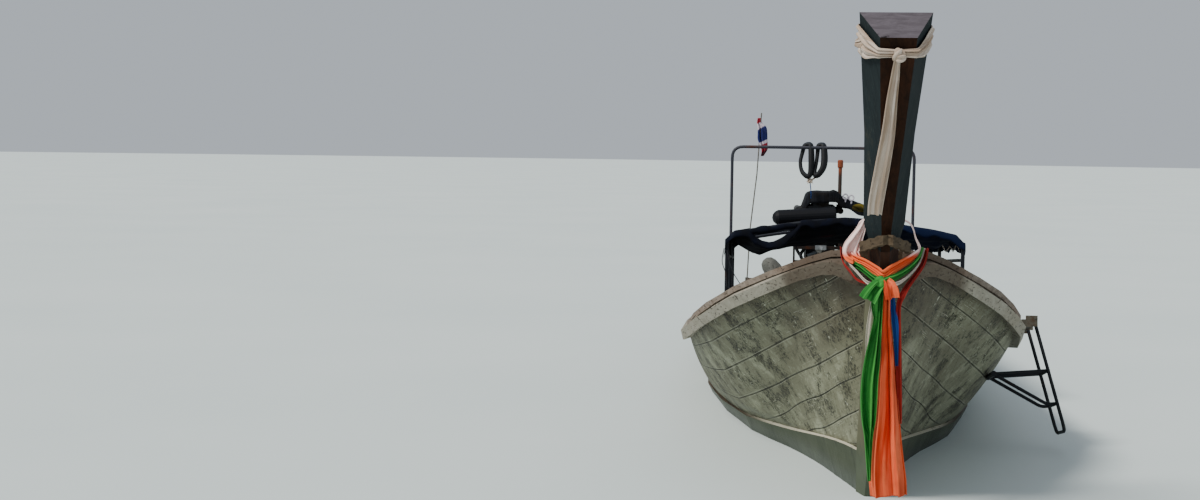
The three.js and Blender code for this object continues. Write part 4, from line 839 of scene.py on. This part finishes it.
# Garland: its band as the ribbons' lines, the middle that it winds round, and the knots in front of the post
garland = {
    "samples": 170,
    "heart": (0, -3.74, 1.1),
    "band": [
        (0, -3918, 1262, 20), (-85, -3945, 1238, 22), (-104, -3905, 1190, 45), (-128, -3872, 1142, 62),
        (-142, -3880, 1108, 50), (-122, -3932, 1084, 42), (-78, -3992, 1068, 40), (-36, -4035, 1044, 42),
        (-6, -4066, 1027, 46), (33, -4050, 1052, 42), (81, -3998, 1076, 38), (126, -3938, 1098, 36),
        (152, -3885, 1122, 26), (134, -3902, 1168, 14), (100, -3945, 1235, 12), (0, -3918, 1262, 20),
    ],
    "knots": [
        ("greenKnot", "green", (-0.018, -4.092, 0.997), (0.03, 0.026, 0.022), (0.8, 0, 0.5), 4, 0.16, 2),
        ("orangeKnot", "orange", (0.016, -4.09, 0.965), (0.024, 0.022, 0.034), (0.1, 0, 1), 4, 0.2, 5),
    ],
}


# One ribbon, cut square to its line
def ribbon(name, key, rest, across, depth, folds, samples, seed, controls):
    line = curveThrough(np.array(controls) / 1000, samples)
    tangent = unit(np.gradient(line[:, :3], axis=0))
    across = unit(across - tangent * np.sum(across * tangent, -1, keepdims=True))
    wave = (depth, 0.3, folds, seed)
    hang("garland." + name, line, across, wave, clothPaint[key], "garland_cloth", "hung", rest)


# Garland: a band round the back of the post and over both caps to the knots, and the ribbons tied there
def makeGarland():
    line = curveThrough(np.array(garland["band"]) / 1000, garland["samples"])
    across = unit(np.cross(np.gradient(line[:, :3], axis=0), line[:, :3] - garland["heart"]))
    wave, paint, rests = (0.005, 0.14, 3.0, 4), clothPaint["turning"], ("gunwale_cap_port", "prow_post")
    hang("garland.orange", line, across, wave, paint, "garland_cloth", "draped", *rests, replaces=["garland"])
    for row in ribbons[:-1]:
        ribbon(*row)
    for name, key, *shape in garland["knots"]:
        build("garland." + name, [knotPatch(*shape)], clothPaint[key])
    ribbon(*ribbons[-1])


makeGarland()
print("garland")

# Post sections from foot to head: back s, height and width, front s, height and width
postRows = [[-450, 1235, 168, -578, 1200, 38], [-612, 1600, 200, -752, 1568, 88], [-800, 2062, 282, -945, 1955, 140]]


# Corners of the post at height share t: back left, back right, front right, front left
def postRing(t):
    rows = np.array(postRows) / 1000
    i = np.clip(np.floor(t).astype(int), 0, 1)
    row = rows[i] + (rows[i + 1] - rows[i]) * (t - i)[..., None]
    bs, bz, bw, fs, fz, fw = np.moveaxis(row, -1, 0)
    corners = [(-bw / 2, bs, bz), (bw / 2, bs, bz), (fw / 2, fs, fz), (-fw / 2, fs, fz)]
    return np.stack([np.stack([x, s + stemFoot, z], -1) for x, s, z in corners], -2)


# Sash: middle, width and pleat depth at stops of its round, the post's corners on it, knots, tail and flare
sash = {
    "samples": 150,
    "columns": 41,
    "pleats": 3.4,
    "proud": 0.0075,
    "edge": 0.004,
    "thick": 0.0015,
    "before": 0.012,
    "under": 0.002,
    "stops": [0, 0.1, 0.26, 0.5, 0.74, 0.9, 1.0],
    "middle": [1.862, 1.862, 1.80, 1.79, 1.795, 1.862, 1.862],
    "width": [0.07, 0.09, 0.2, 0.21, 0.235, 0.09, 0.07],
    "deep": [0.003, 0.0035, 0.005, 0.005, 0.0055, 0.0035, 0.003],
    "corners": [0, 0.1, 0.37, 0.63, 0.9, 1.0],
    "rake": [0, -0.188, 0.462],
    "knots": [
        ((0.0, -4.448, 1.889), (0.019, 0.016, 0.025), (0.3, -0.2, 1), 3, 0.3, 3),
        ((0.008, -4.452, 1.88), (0.014, 0.012, 0.02), (0.9, 0.1, 0.5), 4, 0.3, 9),
    ],
    "tail": [
        (1.84, 0.0, 0.02), (1.786, -0.002, 0.023), (1.6, -0.006, 0.033), (1.4, -0.0115, 0.041),
        (1.076, -0.0175, 0.052), (0.724, -0.032, 0.059), (0.362, -0.0475, 0.06), (0.2, -0.051, 0.055),
    ],
    "flare": [
        (-0.105, -4.29, 1.955, 0.05), (-0.125, -4.287, 1.95, 0.052), (-0.142, -4.285, 1.946, 0.042),
        (-0.155, -4.283, 1.944, 0.024),
    ],
}


# Sash: a pleated cloth round the post head, narrow at its knot in front, and a tail down the front face
def makeSash():
    n, m = sash["samples"], sash["columns"]
    q = np.linspace(0, 1, n)
    middle, width, deep = (np.interp(q, sash["stops"], sash[key]) for key in ("middle", "width", "deep"))
    middle, width = (np.convolve(np.pad(v, 4, mode="edge"), np.ones(9) / 9, "valid") for v in (middle, width))
    k = np.linspace(-0.5, 0.5, m)
    ring = postRing(middle[:, None] + width[:, None] * k)
    front = (ring[..., 2, :] + ring[..., 3, :]) / 2
    route = [front, ring[..., 2, :], ring[..., 1, :], ring[..., 0, :], ring[..., 3, :], front]
    grid = np.zeros((n, m, 3))
    for a, b, start, stop in zip(route[:-1], route[1:], sash["corners"][:-1], sash["corners"][1:]):
        inside = (q >= start) & (q <= stop)
        f = ((q[inside] - start) / (stop - start))[:, None, None]
        grid[inside] = a[inside] * (1 - f) + b[inside] * f
    away = grid - postRing(middle).mean(-2)[:, None]
    axis = unit(np.array(sash["rake"]))
    away = unit(away - axis * (away @ axis)[..., None])
    turn = 2 * np.pi * (sash["pleats"] * k + 0.13 * np.sin(9 * q[:, None]) + 0.2 * np.sin(4 * q[:, None] + 1))
    wave = np.sin(turn) + 0.4 * np.sin(2.3 * turn + 5 * q[:, None])
    edge = sash["edge"] * (1 - np.abs(2 * k) ** 6)
    grid = grid + away * (sash["proud"] + deep[:, None] * wave + edge)[..., None]
    for _ in range(4):
        grid[1:-1] = (grid[:-2] + 2 * grid[1:-1] + grid[2:]) / 4
    grid = grid + away * sash["edge"]
    line = grid[:, m // 2]
    patch = clothPatch(grid, sash["thick"], paired(k * width[:, None] * 0.5, lengths(line)[:, None]))
    paint = clothPaint["sash"]
    band = build("sash.band", [patch], paint, replaces=["sash"])
    sheet(band, line, "stretched", "prow_post")
    build("sash.knot", [knotPatch(*knot) for knot in sash["knots"]], paint)
    faces = [(x, postRing(t)[2:].mean(0), w) for t, x, w in sash["tail"]]
    line = curveThrough([(x, face[1] - sash["before"], face[2] - sash["under"], w) for x, face, w in faces], 110)
    hang("sash.tail", line, (1, 0, 0), (0.0045, 0.1, 1.7, 31, 0.7), paint, "sash_cloth", "hung", "prow_post")
    line = curveThrough(sash["flare"], 40)
    wave = (0.004, 1, 2.2, 33)
    hang("sash.flare", line, (0.1, 0.05, 1), wave, paint, "sash_cloth", "gathered", "prow_post")


makeSash()
print("sash")

# Cover: roof line by share of the half width, slack between arches, and a trough slung under them to starboard; drops
# of the side flaps; the roll under the front arch; hems as a fall, and steps aft with their shares of it
cover = {
    "half": 0.695,
    "arches": (-0.9, 0.35, 1.6),
    "fall": 0.072,
    "lift": 0.0155,
    "thick": 0.0022,
    "across": 141,
    "along": 121,
    "crease": 0.005,
    "least": 0.01,
    "rise": 0.14,
    "hem": 0.014,
    "roof": [(0, 1.112), (0.3, 1.095), (0.55, 1.069), (0.81, 1.038), (0.94, 1.019), (1.0, 0.976)],
    "slack": [
        (-0.705, 0.005), (-0.643, 0.06), (-0.548, 0.127), (-0.497, 0.152), (-0.43, 0.144), (-0.31, 0.13),
        (0, 0.125), (0.3, 0.115), (0.472, 0.1), (0.596, 0.079), (0.705, 0.012),
    ],
    "trough": [
        (-0.56, 0), (-0.53, 0.055), (-0.488, 0.088), (-0.44, 0.106), (-0.393, 0.104), (-0.352, 0.081),
        (-0.305, 0.05), (-0.26, 0),
    ],
    "flaps": ([0.07, 0.05, 0.03, 0.012], [0.006, 0.014, 0.022, 0.03]),
    "roll": {
        "from": -0.668,
        "to": -0.285,
        "samples": 90,
        "before": 0.001,
        "below": 0.009,
        "thick": 0.019,
        "least": 0.0185,
    },
    "hems": [(0.018, [(-0.024, 1.0), (-0.021, 0.5), (-0.017, 0.0)]), (0.03, [(0.015, 0.0), (0.018, 1.0)])],
}


def archHeight(x):
    share, height = np.array(cover["roof"]).T
    return np.interp(np.abs(x) / cover["half"], share, height)


# Cover cloth: near black, navy to port where the light comes through, dust along its folds and a few red stains
def coverLook(p, normal):
    broad = p.noise(3.2, 5, 0.6)
    streak = p.stretch(9, 2.2, 9).noise(1.6, 4, 0.6, 0.5)
    base = blend("04060e", "04102a", (p.part(0) + broad * 0.4).ramp(0.15, 0.55))
    base = blend(base, "0b1530", (streak * 1.4 - 0.55).clip() * 0.7)
    base = blend(base, "23262f", (broad + streak * 0.3).ramp(0.74, 0.86) * 0.5)
    base = blend(base, "4a1a28", p.noise(2.1, 2, 0.5).ramp(0.69, 0.72) * 0.5)
    return base, 0.9, streak + p.noise(60, 3) * 0.15, 0.004


# Cover over the arches, and the roll of cloth that is tied up along the front one
def makeCover():
    cloth = surface("coverCloth", coverLook, 0.12)
    half = cover["half"]
    x = np.concatenate([np.full(4, -half), np.linspace(-half, half, cover["across"]), np.full(4, half)])
    drop = np.concatenate([cover["flaps"][0], np.zeros(cover["across"]), cover["flaps"][1]])
    front, middle, back = cover["arches"]
    gx, gy = np.meshgrid(x, np.linspace(front, back, cover["along"]))
    slack = np.interp(gx, *np.array(cover["slack"]).T)
    trough = np.interp(gx, *np.array(cover["trough"]).T) * (1 - cover["rise"] * (gy - front))
    bay = ((gy - front) / (middle - front)) % 1.0
    bulge = np.sin(np.pi * bay) ** 0.9
    bulge[-1] = 0
    down = trough + np.maximum(slack - trough, cover["least"]) * bulge
    crease = np.sin(2 * np.pi * (2.3 * gx + 1.1 * np.sin(2.2 * gy) + 0.5 * bay))
    crease = crease + 0.6 * np.sin(2 * np.pi * (5.1 * gx - 1.7 * gy) + 1)
    crease = crease + 0.5 * np.sin(2 * np.pi * (0.8 * gx + 6.2 * gy) + 2)
    z = archHeight(gx) + cover["lift"] - cover["fall"] * (gy - front) - down
    z = z + cover["crease"] * crease * (0.25 + bulge)
    z = z - drop * (1 + 0.3 * np.sin(7.3 * gy) + 0.2 * np.sin(19 * gy + 1))
    flare = np.sign(gx) * (0.014 + 0.01 * np.sin(11 * gy + 2) * drop / 0.07)
    grid = np.stack([gx + np.where(drop > 0, flare, 0), gy, z], -1)
    lip = 0.012 + 0.009 * np.sin(31 * x) + 0.006 * np.sin(67 * x + 1)
    hems = []
    for row, (fall, steps) in zip((grid[0], grid[-1]), cover["hems"]):
        steps = [(0 * x, 0 * x + aft, -cover["hem"] - share * (fall + lip)) for aft, share in steps]
        hems.append([row + np.stack(step, -1) for step in steps])
    grid = np.concatenate([hems[0], grid, hems[1]])
    patch = clothPatch(grid, cover["thick"], paired(lengths(grid[60]), grid[:, 70, 1][:, None]))
    piece = build("canopy.cover", [patch], cloth, replaces=["canopy_cover"])
    sheet(piece, grid[:, 74], "stretched", "canopy_frame")
    roll = cover["roll"]
    x = np.linspace(roll["from"], roll["to"], roll["samples"])
    swell = roll["thick"] + 0.004 * np.sin(23 * x) + 0.003 * np.sin(51 * x + 1)
    ends = np.clip(np.minimum(x - roll["from"] + 0.002, roll["to"] + 0.002 - x) / 0.03, 0, 1) ** 0.5
    z = archHeight(x) - roll["below"] - 0.002 * np.sin(40 * x)
    line = np.stack([x, 0 * x + front - roll["before"], z], -1)
    patch = tubePatch(line, np.maximum(swell, roll["least"]) * (0.8 + 0.2 * ends), sides=18)
    sheet(build("canopy.roll", [patch], cloth), line, "gathered", "canopy_frame")


makeCover()
print("cover")


# Rubber of the sling: dull black, with grey-blue bloom and a painted sky highlight on what faces up
def rubberLook(p, normal):
    broad = p.noise(14, 4, 0.6)
    fine = p.noise(90, 3, 0.6)
    base = blend("030305", "101318", broad * 1.3 - 0.3)
    # Grey-blue on faces that look up: bloom, and a painted highlight of the sky
    base = blend(base, "2a3440", normal.part(2).ramp(0.2, 0.9) * 0.5)
    return base, (0.5 + fine * 0.3).clip(), fine + broad, 0.0008


# Line through (x, z) points at the depth y
def trace(points, y, samples):
    return curveThrough([(x, y, z) for x, z in points], samples)


# A cord drawn as a tube along its line
def cord(name, line, radius, sides, paint, body="hull"):
    piece = build(name, [tubePatch(line, radius, sides)], paint, body=body)


# Sling: its loops and tie as (x, z) points at a depth; the knot's stubs; the line from it by x, step aft and z
sling = {
    "depth": 2.7,
    "radius": 0.0245,
    "sway": 0.034,
    "swell": 0.22,
    "flat": 0.8,
    "left": [
        (-0.118, 1.566), (-0.148, 1.55), (-0.166, 1.49), (-0.18, 1.42), (-0.17, 1.355), (-0.144, 1.318),
        (-0.114, 1.306), (-0.096, 1.34), (-0.092, 1.42), (-0.094, 1.5), (-0.1, 1.556),
    ],
    "right": [
        (-0.012, 1.564), (-0.036, 1.552), (-0.044, 1.48), (-0.052, 1.41), (-0.064, 1.35), (-0.06, 1.314),
        (-0.034, 1.322), (0.0, 1.372), (0.012, 1.43), (0.011, 1.5), (0.004, 1.554),
    ],
    "tie": [(-0.132, 1.302), (-0.112, 1.284), (-0.09, 1.278), (-0.07, 1.288), (-0.052, 1.304)],
    "stubs": [(-0.128, 1.262), (-0.12, 1.248), (-0.078, 1.252), (-0.086, 1.262)],
    "line": [(-0.1, -0.018, 1.262), (-0.093, -0.01, 1.21), (-0.088, 0.02, 1.16), (-0.086, 0.08, 1.125)],
}


# Sling: two rubber loops over the hoop's bar, tied together under it, and a line down to the engine
def makeSling():
    rubber = surface("slingRubber", rubberLook, 0.3)
    y = sling["depth"]
    patches = []
    for side in ("left", "right"):
        rows = sling[side]
        sway = [y + sling["sway"] * math.sin(2 * math.pi * i / len(rows) + 1.2) for i in range(len(rows))]
        ring = [(x, aft, z) for aft, (x, z) in zip(sway, rows)]
        line = curveThrough(ring + ring[:1], 90)[:-1]
        swell = 1 + sling["swell"] * np.cos(2 * np.pi * (np.linspace(0, 1, len(line)) - 0.77))
        patches.append(tubePatch(line, sling["radius"] * swell, sides=14, flat=sling["flat"], loop=True))
    build("sling.loops", patches, rubber, replaces=["engine_sling"])
    tie = [tubePatch(trace(sling["tie"], y - 0.012, 24), 0.007, sides=8)]
    tie.append(knotPatch((-0.1, y - 0.018, 1.27), (0.02, 0.016, 0.02), (0.2, 0, 1), 5, 0.25, 8))
    for k, (x, z) in enumerate(sling["stubs"]):
        stub = curveThrough([(-0.1, y - 0.02, 1.268), (x, y - 0.03 - 0.004 * k, z)], 6)
        tie.append(tubePatch(stub, 0.0035, sides=6))
    build("sling.knot", tie, clothPaint["sash"])
    line = curveThrough([(x, y + aft, z) for x, aft, z in sling["line"]], 30)
    cord("sling.line", line, 0.004, 8, clothPaint["blue"])


makeSling()
print("sling")

# Flag: its line as x, z and width at a depth
flag = {
    "depth": 3.94,
    "rows": [
        (-0.522, 1.794, 0.026), (-0.516, 1.75, 0.05), (-0.494, 1.71, 0.082), (-0.489, 1.66, 0.092),
        (-0.487, 1.61, 0.094), (-0.474, 1.55, 0.074), (-0.467, 1.51, 0.058), (-0.486, 1.458, 0.03),
    ],
}


# Flag cloth: bands of red, white and blue that run along its fold, with darker streaks
def flagLook(p, normal, uv):
    streak = uv.stretch(40, 6, 1).noise(2, 4, 0.6)
    down = 1.8 - p.part(2) + (p.part(0) + 0.49) * 0.55 + (uv.part(1) * 26).sin() * 0.008
    color = blend("a02434", "cfc3cc", down.ramp(0.035, 0.045))
    color = blend(color, "232a60", down.ramp(0.085, 0.1))
    color = blend(color, "c9bfca", down.ramp(0.205, 0.215))
    color = blend(color, "8d2030", down.ramp(0.235, 0.25))
    color = blend(color, "3b1822", down.ramp(0.3, 0.33))
    color = blend(color, "3a2a3a", streak.ramp(0.56, 0.75) * 0.5)
    return color, 0.9, streak, 0.001


def makeFlag():
    paint = surface("flagCloth", flagLook, 0.2, uv=True)
    line = curveThrough([(x, flag["depth"], z, w) for x, z, w in flag["rows"]], 70)
    wave = (0.012, 0.2, 1.8, 51, 1.2)
    hang("flag.cloth", line, (1, 0.25, 0.1), wave, paint, "flag_cloth", "hung", "flag_staff", replaces=["flag"])


makeFlag()
print("flag")

# Rag: its top line as (x, z) points, its depth and length along the boat
rag = {
    "depth": 3.125,
    "long": 0.6,
    "samples": 80,
    "rows": 25,
    "thick": 0.003,
    "edge": 0.55,
    "bend": 0.62,
    "droop": 0.085,
    "line": [
        (-0.15, 1.05), (-0.132, 1.1), (-0.105, 1.16), (-0.03, 1.172), (0.03, 1.173), (0.09, 1.178), (0.125, 1.182),
        (0.16, 1.15), (0.2, 1.125), (0.27, 1.1), (0.35, 1.07), (0.43, 1.03),
    ],
}


# A rag draped over the engine's top, its front and back edges hanging
def makeEngineTop():
    look = clothLook("08090c 1a1d24 2b241c", 0.4, weave=500)
    paint = surface("ragCloth", look, 0.15, uv=True)
    top = trace(rag["line"], 0, rag["samples"])
    x = top[:, 0]
    rows = []
    for v in np.linspace(-1, 1, rag["rows"]):
        side = np.clip((abs(v) - rag["edge"]) / 0.45, 0, 1)
        fold = 0.004 * np.sin(31 * x + 5 * v) + 0.006 * side * np.sin(43 * x + 2 * v)
        share = np.sign(v) * min(abs(v), rag["bend"]) / rag["bend"] * 0.8 + v * 0.2
        y = rag["depth"] + rag["long"] / 2 * share + 0.01 * side * np.sin(37 * x)
        rows.append(np.stack([x, y, top[:, 2] - rag["droop"] * side**1.4 + fold], -1))
    grid = np.array(rows)
    line = grid[:, rag["samples"] // 2]
    patch = clothPatch(grid, rag["thick"], paired(lengths(top), lengths(line)[:, None]))
    piece = build("engine.rag", [patch], paint, body="engine")
    sheet(piece, line, "draped", "cylinder_head", "engine_block")


makeEngineTop()
print("engine top")

# Small gear: boards by their two ends' x, y, low and high; rings, pipe and hoses as (x, z) points at a depth
gear = {
    "boards": {
        "left": [(-0.1, -3.985, 1.112, 1.155), (-0.016, -4.128, 1.155, 1.193)],
        "right": [(0.024, -4.126, 1.152, 1.19), (0.108, -3.985, 1.112, 1.155)],
    },
    "boardThick": 0.026,
    "pipeRadius": 0.0135,
    "ringRadius": 0.0065,
    "footRadius": 0.008,
    "hoseRadius": 0.013,
    "ringDepth": 2.845,
    "rings": [(0.196, 1.142), (0.244, 1.133)],
    "pipeDepth": 2.79,
    "pipe": [(-0.105, 0.655), (-0.06, 0.672), (-0.012, 0.7)],
    "hoseDepth": 2.8,
    "hoses": [
        [(-0.2, 0.97), (-0.235, 0.9), (-0.23, 0.8), (-0.19, 0.7), (-0.15, 0.64)],
        [(-0.17, 0.98), (-0.19, 0.88), (-0.16, 0.78), (-0.12, 0.72)],
        [(-0.12, 0.6), (-0.16, 0.66), (-0.1, 0.74), (-0.02, 0.73)],
    ],
}


# Before the engine: hoses, a pipe with a pale cap, two chrome rings with painted glint, a sponge; boards on the bow
# beam
def makeGear():
    grey = surface("gearPipe", metalLook("3d4247 7c8489 4a3a30", 0.3, 0.5), 0.4)
    pale = surface("gearCap", metalLook("a9a79f cfcdc6 6b5a48", 0.25, 0.5), 0.4)
    # Rings near white and not metal: the chrome's glint is painted into their colour
    chrome = surface("gearRing", metalLook("b9b3bd e6dfe6 5a4c48", 0.2, 0.25), 0.6)
    yellow = surface("gearSponge", metalLook("3b3413 77691f 1d1a12", 0.9, 0.9), 0.1)
    black = surface("gearHose", metalLook("050608 15181c 1c1510", 0.2, 0.6), 0.3)
    line = trace(gear["pipe"], gear["pipeDepth"], 30)
    build("gear.pipe", [tubePatch(line, gear["pipeRadius"], sides=14)], grey, body="engine")
    cap = knotPatch(line[-1], (0.024, 0.02, 0.027), (1, 0, 0.4), 3, 0.05, 4)
    build("gear.cap", [cap], pale, body="engine")
    turn = np.linspace(0, 2 * np.pi, 25)[:-1]
    y = gear["ringDepth"]
    for x, z in gear["rings"]:
        ring = np.stack([x + 0.019 * np.cos(turn), y + 0.006 * np.sin(turn), z + 0.021 * np.sin(turn)], -1)
        foot = [(x, y + 0.007, z - 0.075), (x, y + 0.003, z - 0.045), (x, y, z - 0.018)]
        patches = [tubePatch(ring, gear["ringRadius"], loop=True), tubePatch(foot, gear["footRadius"])]
        build("gear.ring%d" % (1000 * x), patches, chrome, body="engine")
    sponge = knotPatch((0.315, 2.832, 1.05), (0.032, 0.026, 0.062), (1, 0, -0.15), 4, 0.16, 9)
    build("gear.sponge", [sponge], yellow, body="engine")
    for k, rows in enumerate(gear["hoses"]):
        line = trace(rows, gear["hoseDepth"] - 0.012 * k, 40)
        cord("gear.hose%d" % (k + 1), line, gear["hoseRadius"], 12, black, "engine")
    wood = surface("boardTimber", timberLook("5f5140 31281d 3a2c20", 0.5), 0.15)
    f = np.linspace(0, 1, 14)
    for name, ends in gear["boards"].items():
        x, y, low, high = (a + (b - a) * f for a, b in zip(*ends))
        low = np.stack([x, y, low + 0.002 * np.sin(23 * f)], -1)
        high = np.stack([x, y, high + 0.003 * np.sin(17 * f + 1)], -1)
        front = np.stack([low + (high - low) * g for g in np.linspace(0, 1, 6)])
        inward = unit(np.array([y[-1] - y[0], x[0] - x[-1], 0]))
        inward = inward * math.copysign(gear["boardThick"], inward[1])
        build("bow.board." + name, [shellPatch(front, front + inward)], wood, rounded=False)


makeGear()
print("gear")

# Thin cords: the lacing's turns as (x, z) points, the other two as x, y and z
cords = {
    "lace": 0.003,
    "wire": 0.0025,
    "behind": 0.3,
    "zigzag": [(0.607, 0.955), (0.63, 0.914), (0.653, 0.951), (0.672, 0.915), (0.695, 0.965), (0.712, 0.918)],
    "port": [
        *[(-0.713, -0.915, 0.93), (-0.722, -0.925, 0.85), (-0.7, -0.93, 0.78), (-0.69, -0.92, 0.7)],
        (-0.668, -0.915, 0.69),
    ],
    "stay": [(-0.695, -0.925, 0.918), (-0.678, -0.925, 0.847), (-0.652, -0.92, 0.78), (-0.612, -0.91, 0.716)],
}


# Lashings: a white line laced along the cover's port flap, and two dark cords at the starboard leg of the front arch
def makeLashings():
    rows = np.array([(x, cover["arches"][0] + cords["behind"], z) for x, z in cords["zigzag"]])
    fine = [a + (b - a) * f for a, b in zip(rows[:-1], rows[1:]) for f in (0, 0.25, 0.5, 0.75)]
    cord("lacing", np.array(fine + [rows[-1]]), cords["lace"], 8, clothPaint["white"])
    wire = surface("darkCord", metalLook("1b1c20 3a3d44 3a2c22", 0.3, 0.6), 0.3)
    cord("cord.port", curveThrough(cords["port"], 40), cords["wire"], 8, wire)
    cord("cord.stay", curveThrough(cords["stay"], 40), cords["wire"], 8, wire)


makeLashings()
print("lashings")

# Floor and light: the opening's inset and the reach of its search by y, the floor's radius, sky and sun
stage = {
    "inset": 0.012,
    "foot": 0.03,
    "least": 0.01,
    "samples": 60,
    "reach": ([-3.4, -2.9, -1.9, -0.2, 0.7], [0.03, 0.1, 0.16, 0.3, 0.36]),
    "radius": 170,
    "sky": (0.80, 0.87, 0.95, 1),
    "skyPower": 0.6,
    "sun": (1.0, 0.96, 0.9),
    "sunPower": 3.9,
    "sunSpread": 14,
    "sunFrom": (0.75, 0.62, -1.1),
}


# Outline of the bottom planking at the floor, a little inside its outer face, as x and y
def hullOpening():
    bottom = nodes["bottom_planking"]
    points = np.array([bottom.matrix_world @ v.co for v in bottom.data.vertices])
    a, b = points[np.array([e.vertices[:] for e in bottom.data.edges])].transpose(1, 0, 2)
    cut = (a[:, 2] < 0) != (b[:, 2] < 0)
    share = a[cut, 2] / (a[cut, 2] - b[cut, 2])
    cross = a[cut] + (b[cut] - a[cut]) * share[:, None]
    y = np.linspace(cross[:, 1].min() + stage["foot"], cross[:, 1].max() - stage["inset"], stage["samples"])
    widest = []
    for station, window in zip(y, np.interp(y, *stage["reach"])):
        near = cross[np.abs(cross[:, 1] - station) < window]
        widest.append(near[np.argmax(np.abs(near[:, 0]))] if len(near) else [0.02, station, 0])
    widest = np.array(widest)
    _, order = np.unique(widest[:, 1], return_index=True)
    half = np.interp(y, widest[order, 1], np.abs(widest[order, 0])) - stage["inset"]
    half = np.maximum(half, stage["least"])
    return np.concatenate([np.stack([half, y], -1), np.stack([-half[::-1], y[::-1]], -1)])


# Floor: pale grey with a faint broad cloud
def floorLook(p, normal):
    return blend("c9d6d5", "d9e2e0", p.noise(0.35, 3, 0.5)), 0.6


# Floor at the waterline with the hull's opening, and soft light
def makeStage():
    inner = hullOpening()
    outer = inner.mean(0) + unit(inner - inner.mean(0)) * stage["radius"]
    points = np.vstack([np.column_stack([ring, np.zeros(len(ring))]) for ring in (inner, outer)])
    n = len(inner)
    i = np.arange(n)
    k = (i + 1) % n
    mesh = bpy.data.meshes.new("floor")
    mesh.from_pydata(points.tolist(), [], np.stack([i, i + n, k + n, k], -1).tolist())
    mesh.materials.append(surface("floorPlain", floorLook))
    show("floor", mesh)
    world = bpy.data.worlds.new("sky")
    world.use_nodes = True
    background = world.node_tree.nodes["Background"]
    background.inputs["Color"].default_value = stage["sky"]
    background.inputs["Strength"].default_value = stage["skyPower"]
    bpy.context.scene.world = world
    sun = bpy.data.lights.new("key", "SUN")
    sun.energy = stage["sunPower"]
    sun.angle = math.radians(stage["sunSpread"])
    sun.color = stage["sun"]
    show("key", sun).rotation_euler = Vector(stage["sunFrom"]).to_track_quat("-Z", "Y").to_euler()


makeStage()
print("stage")
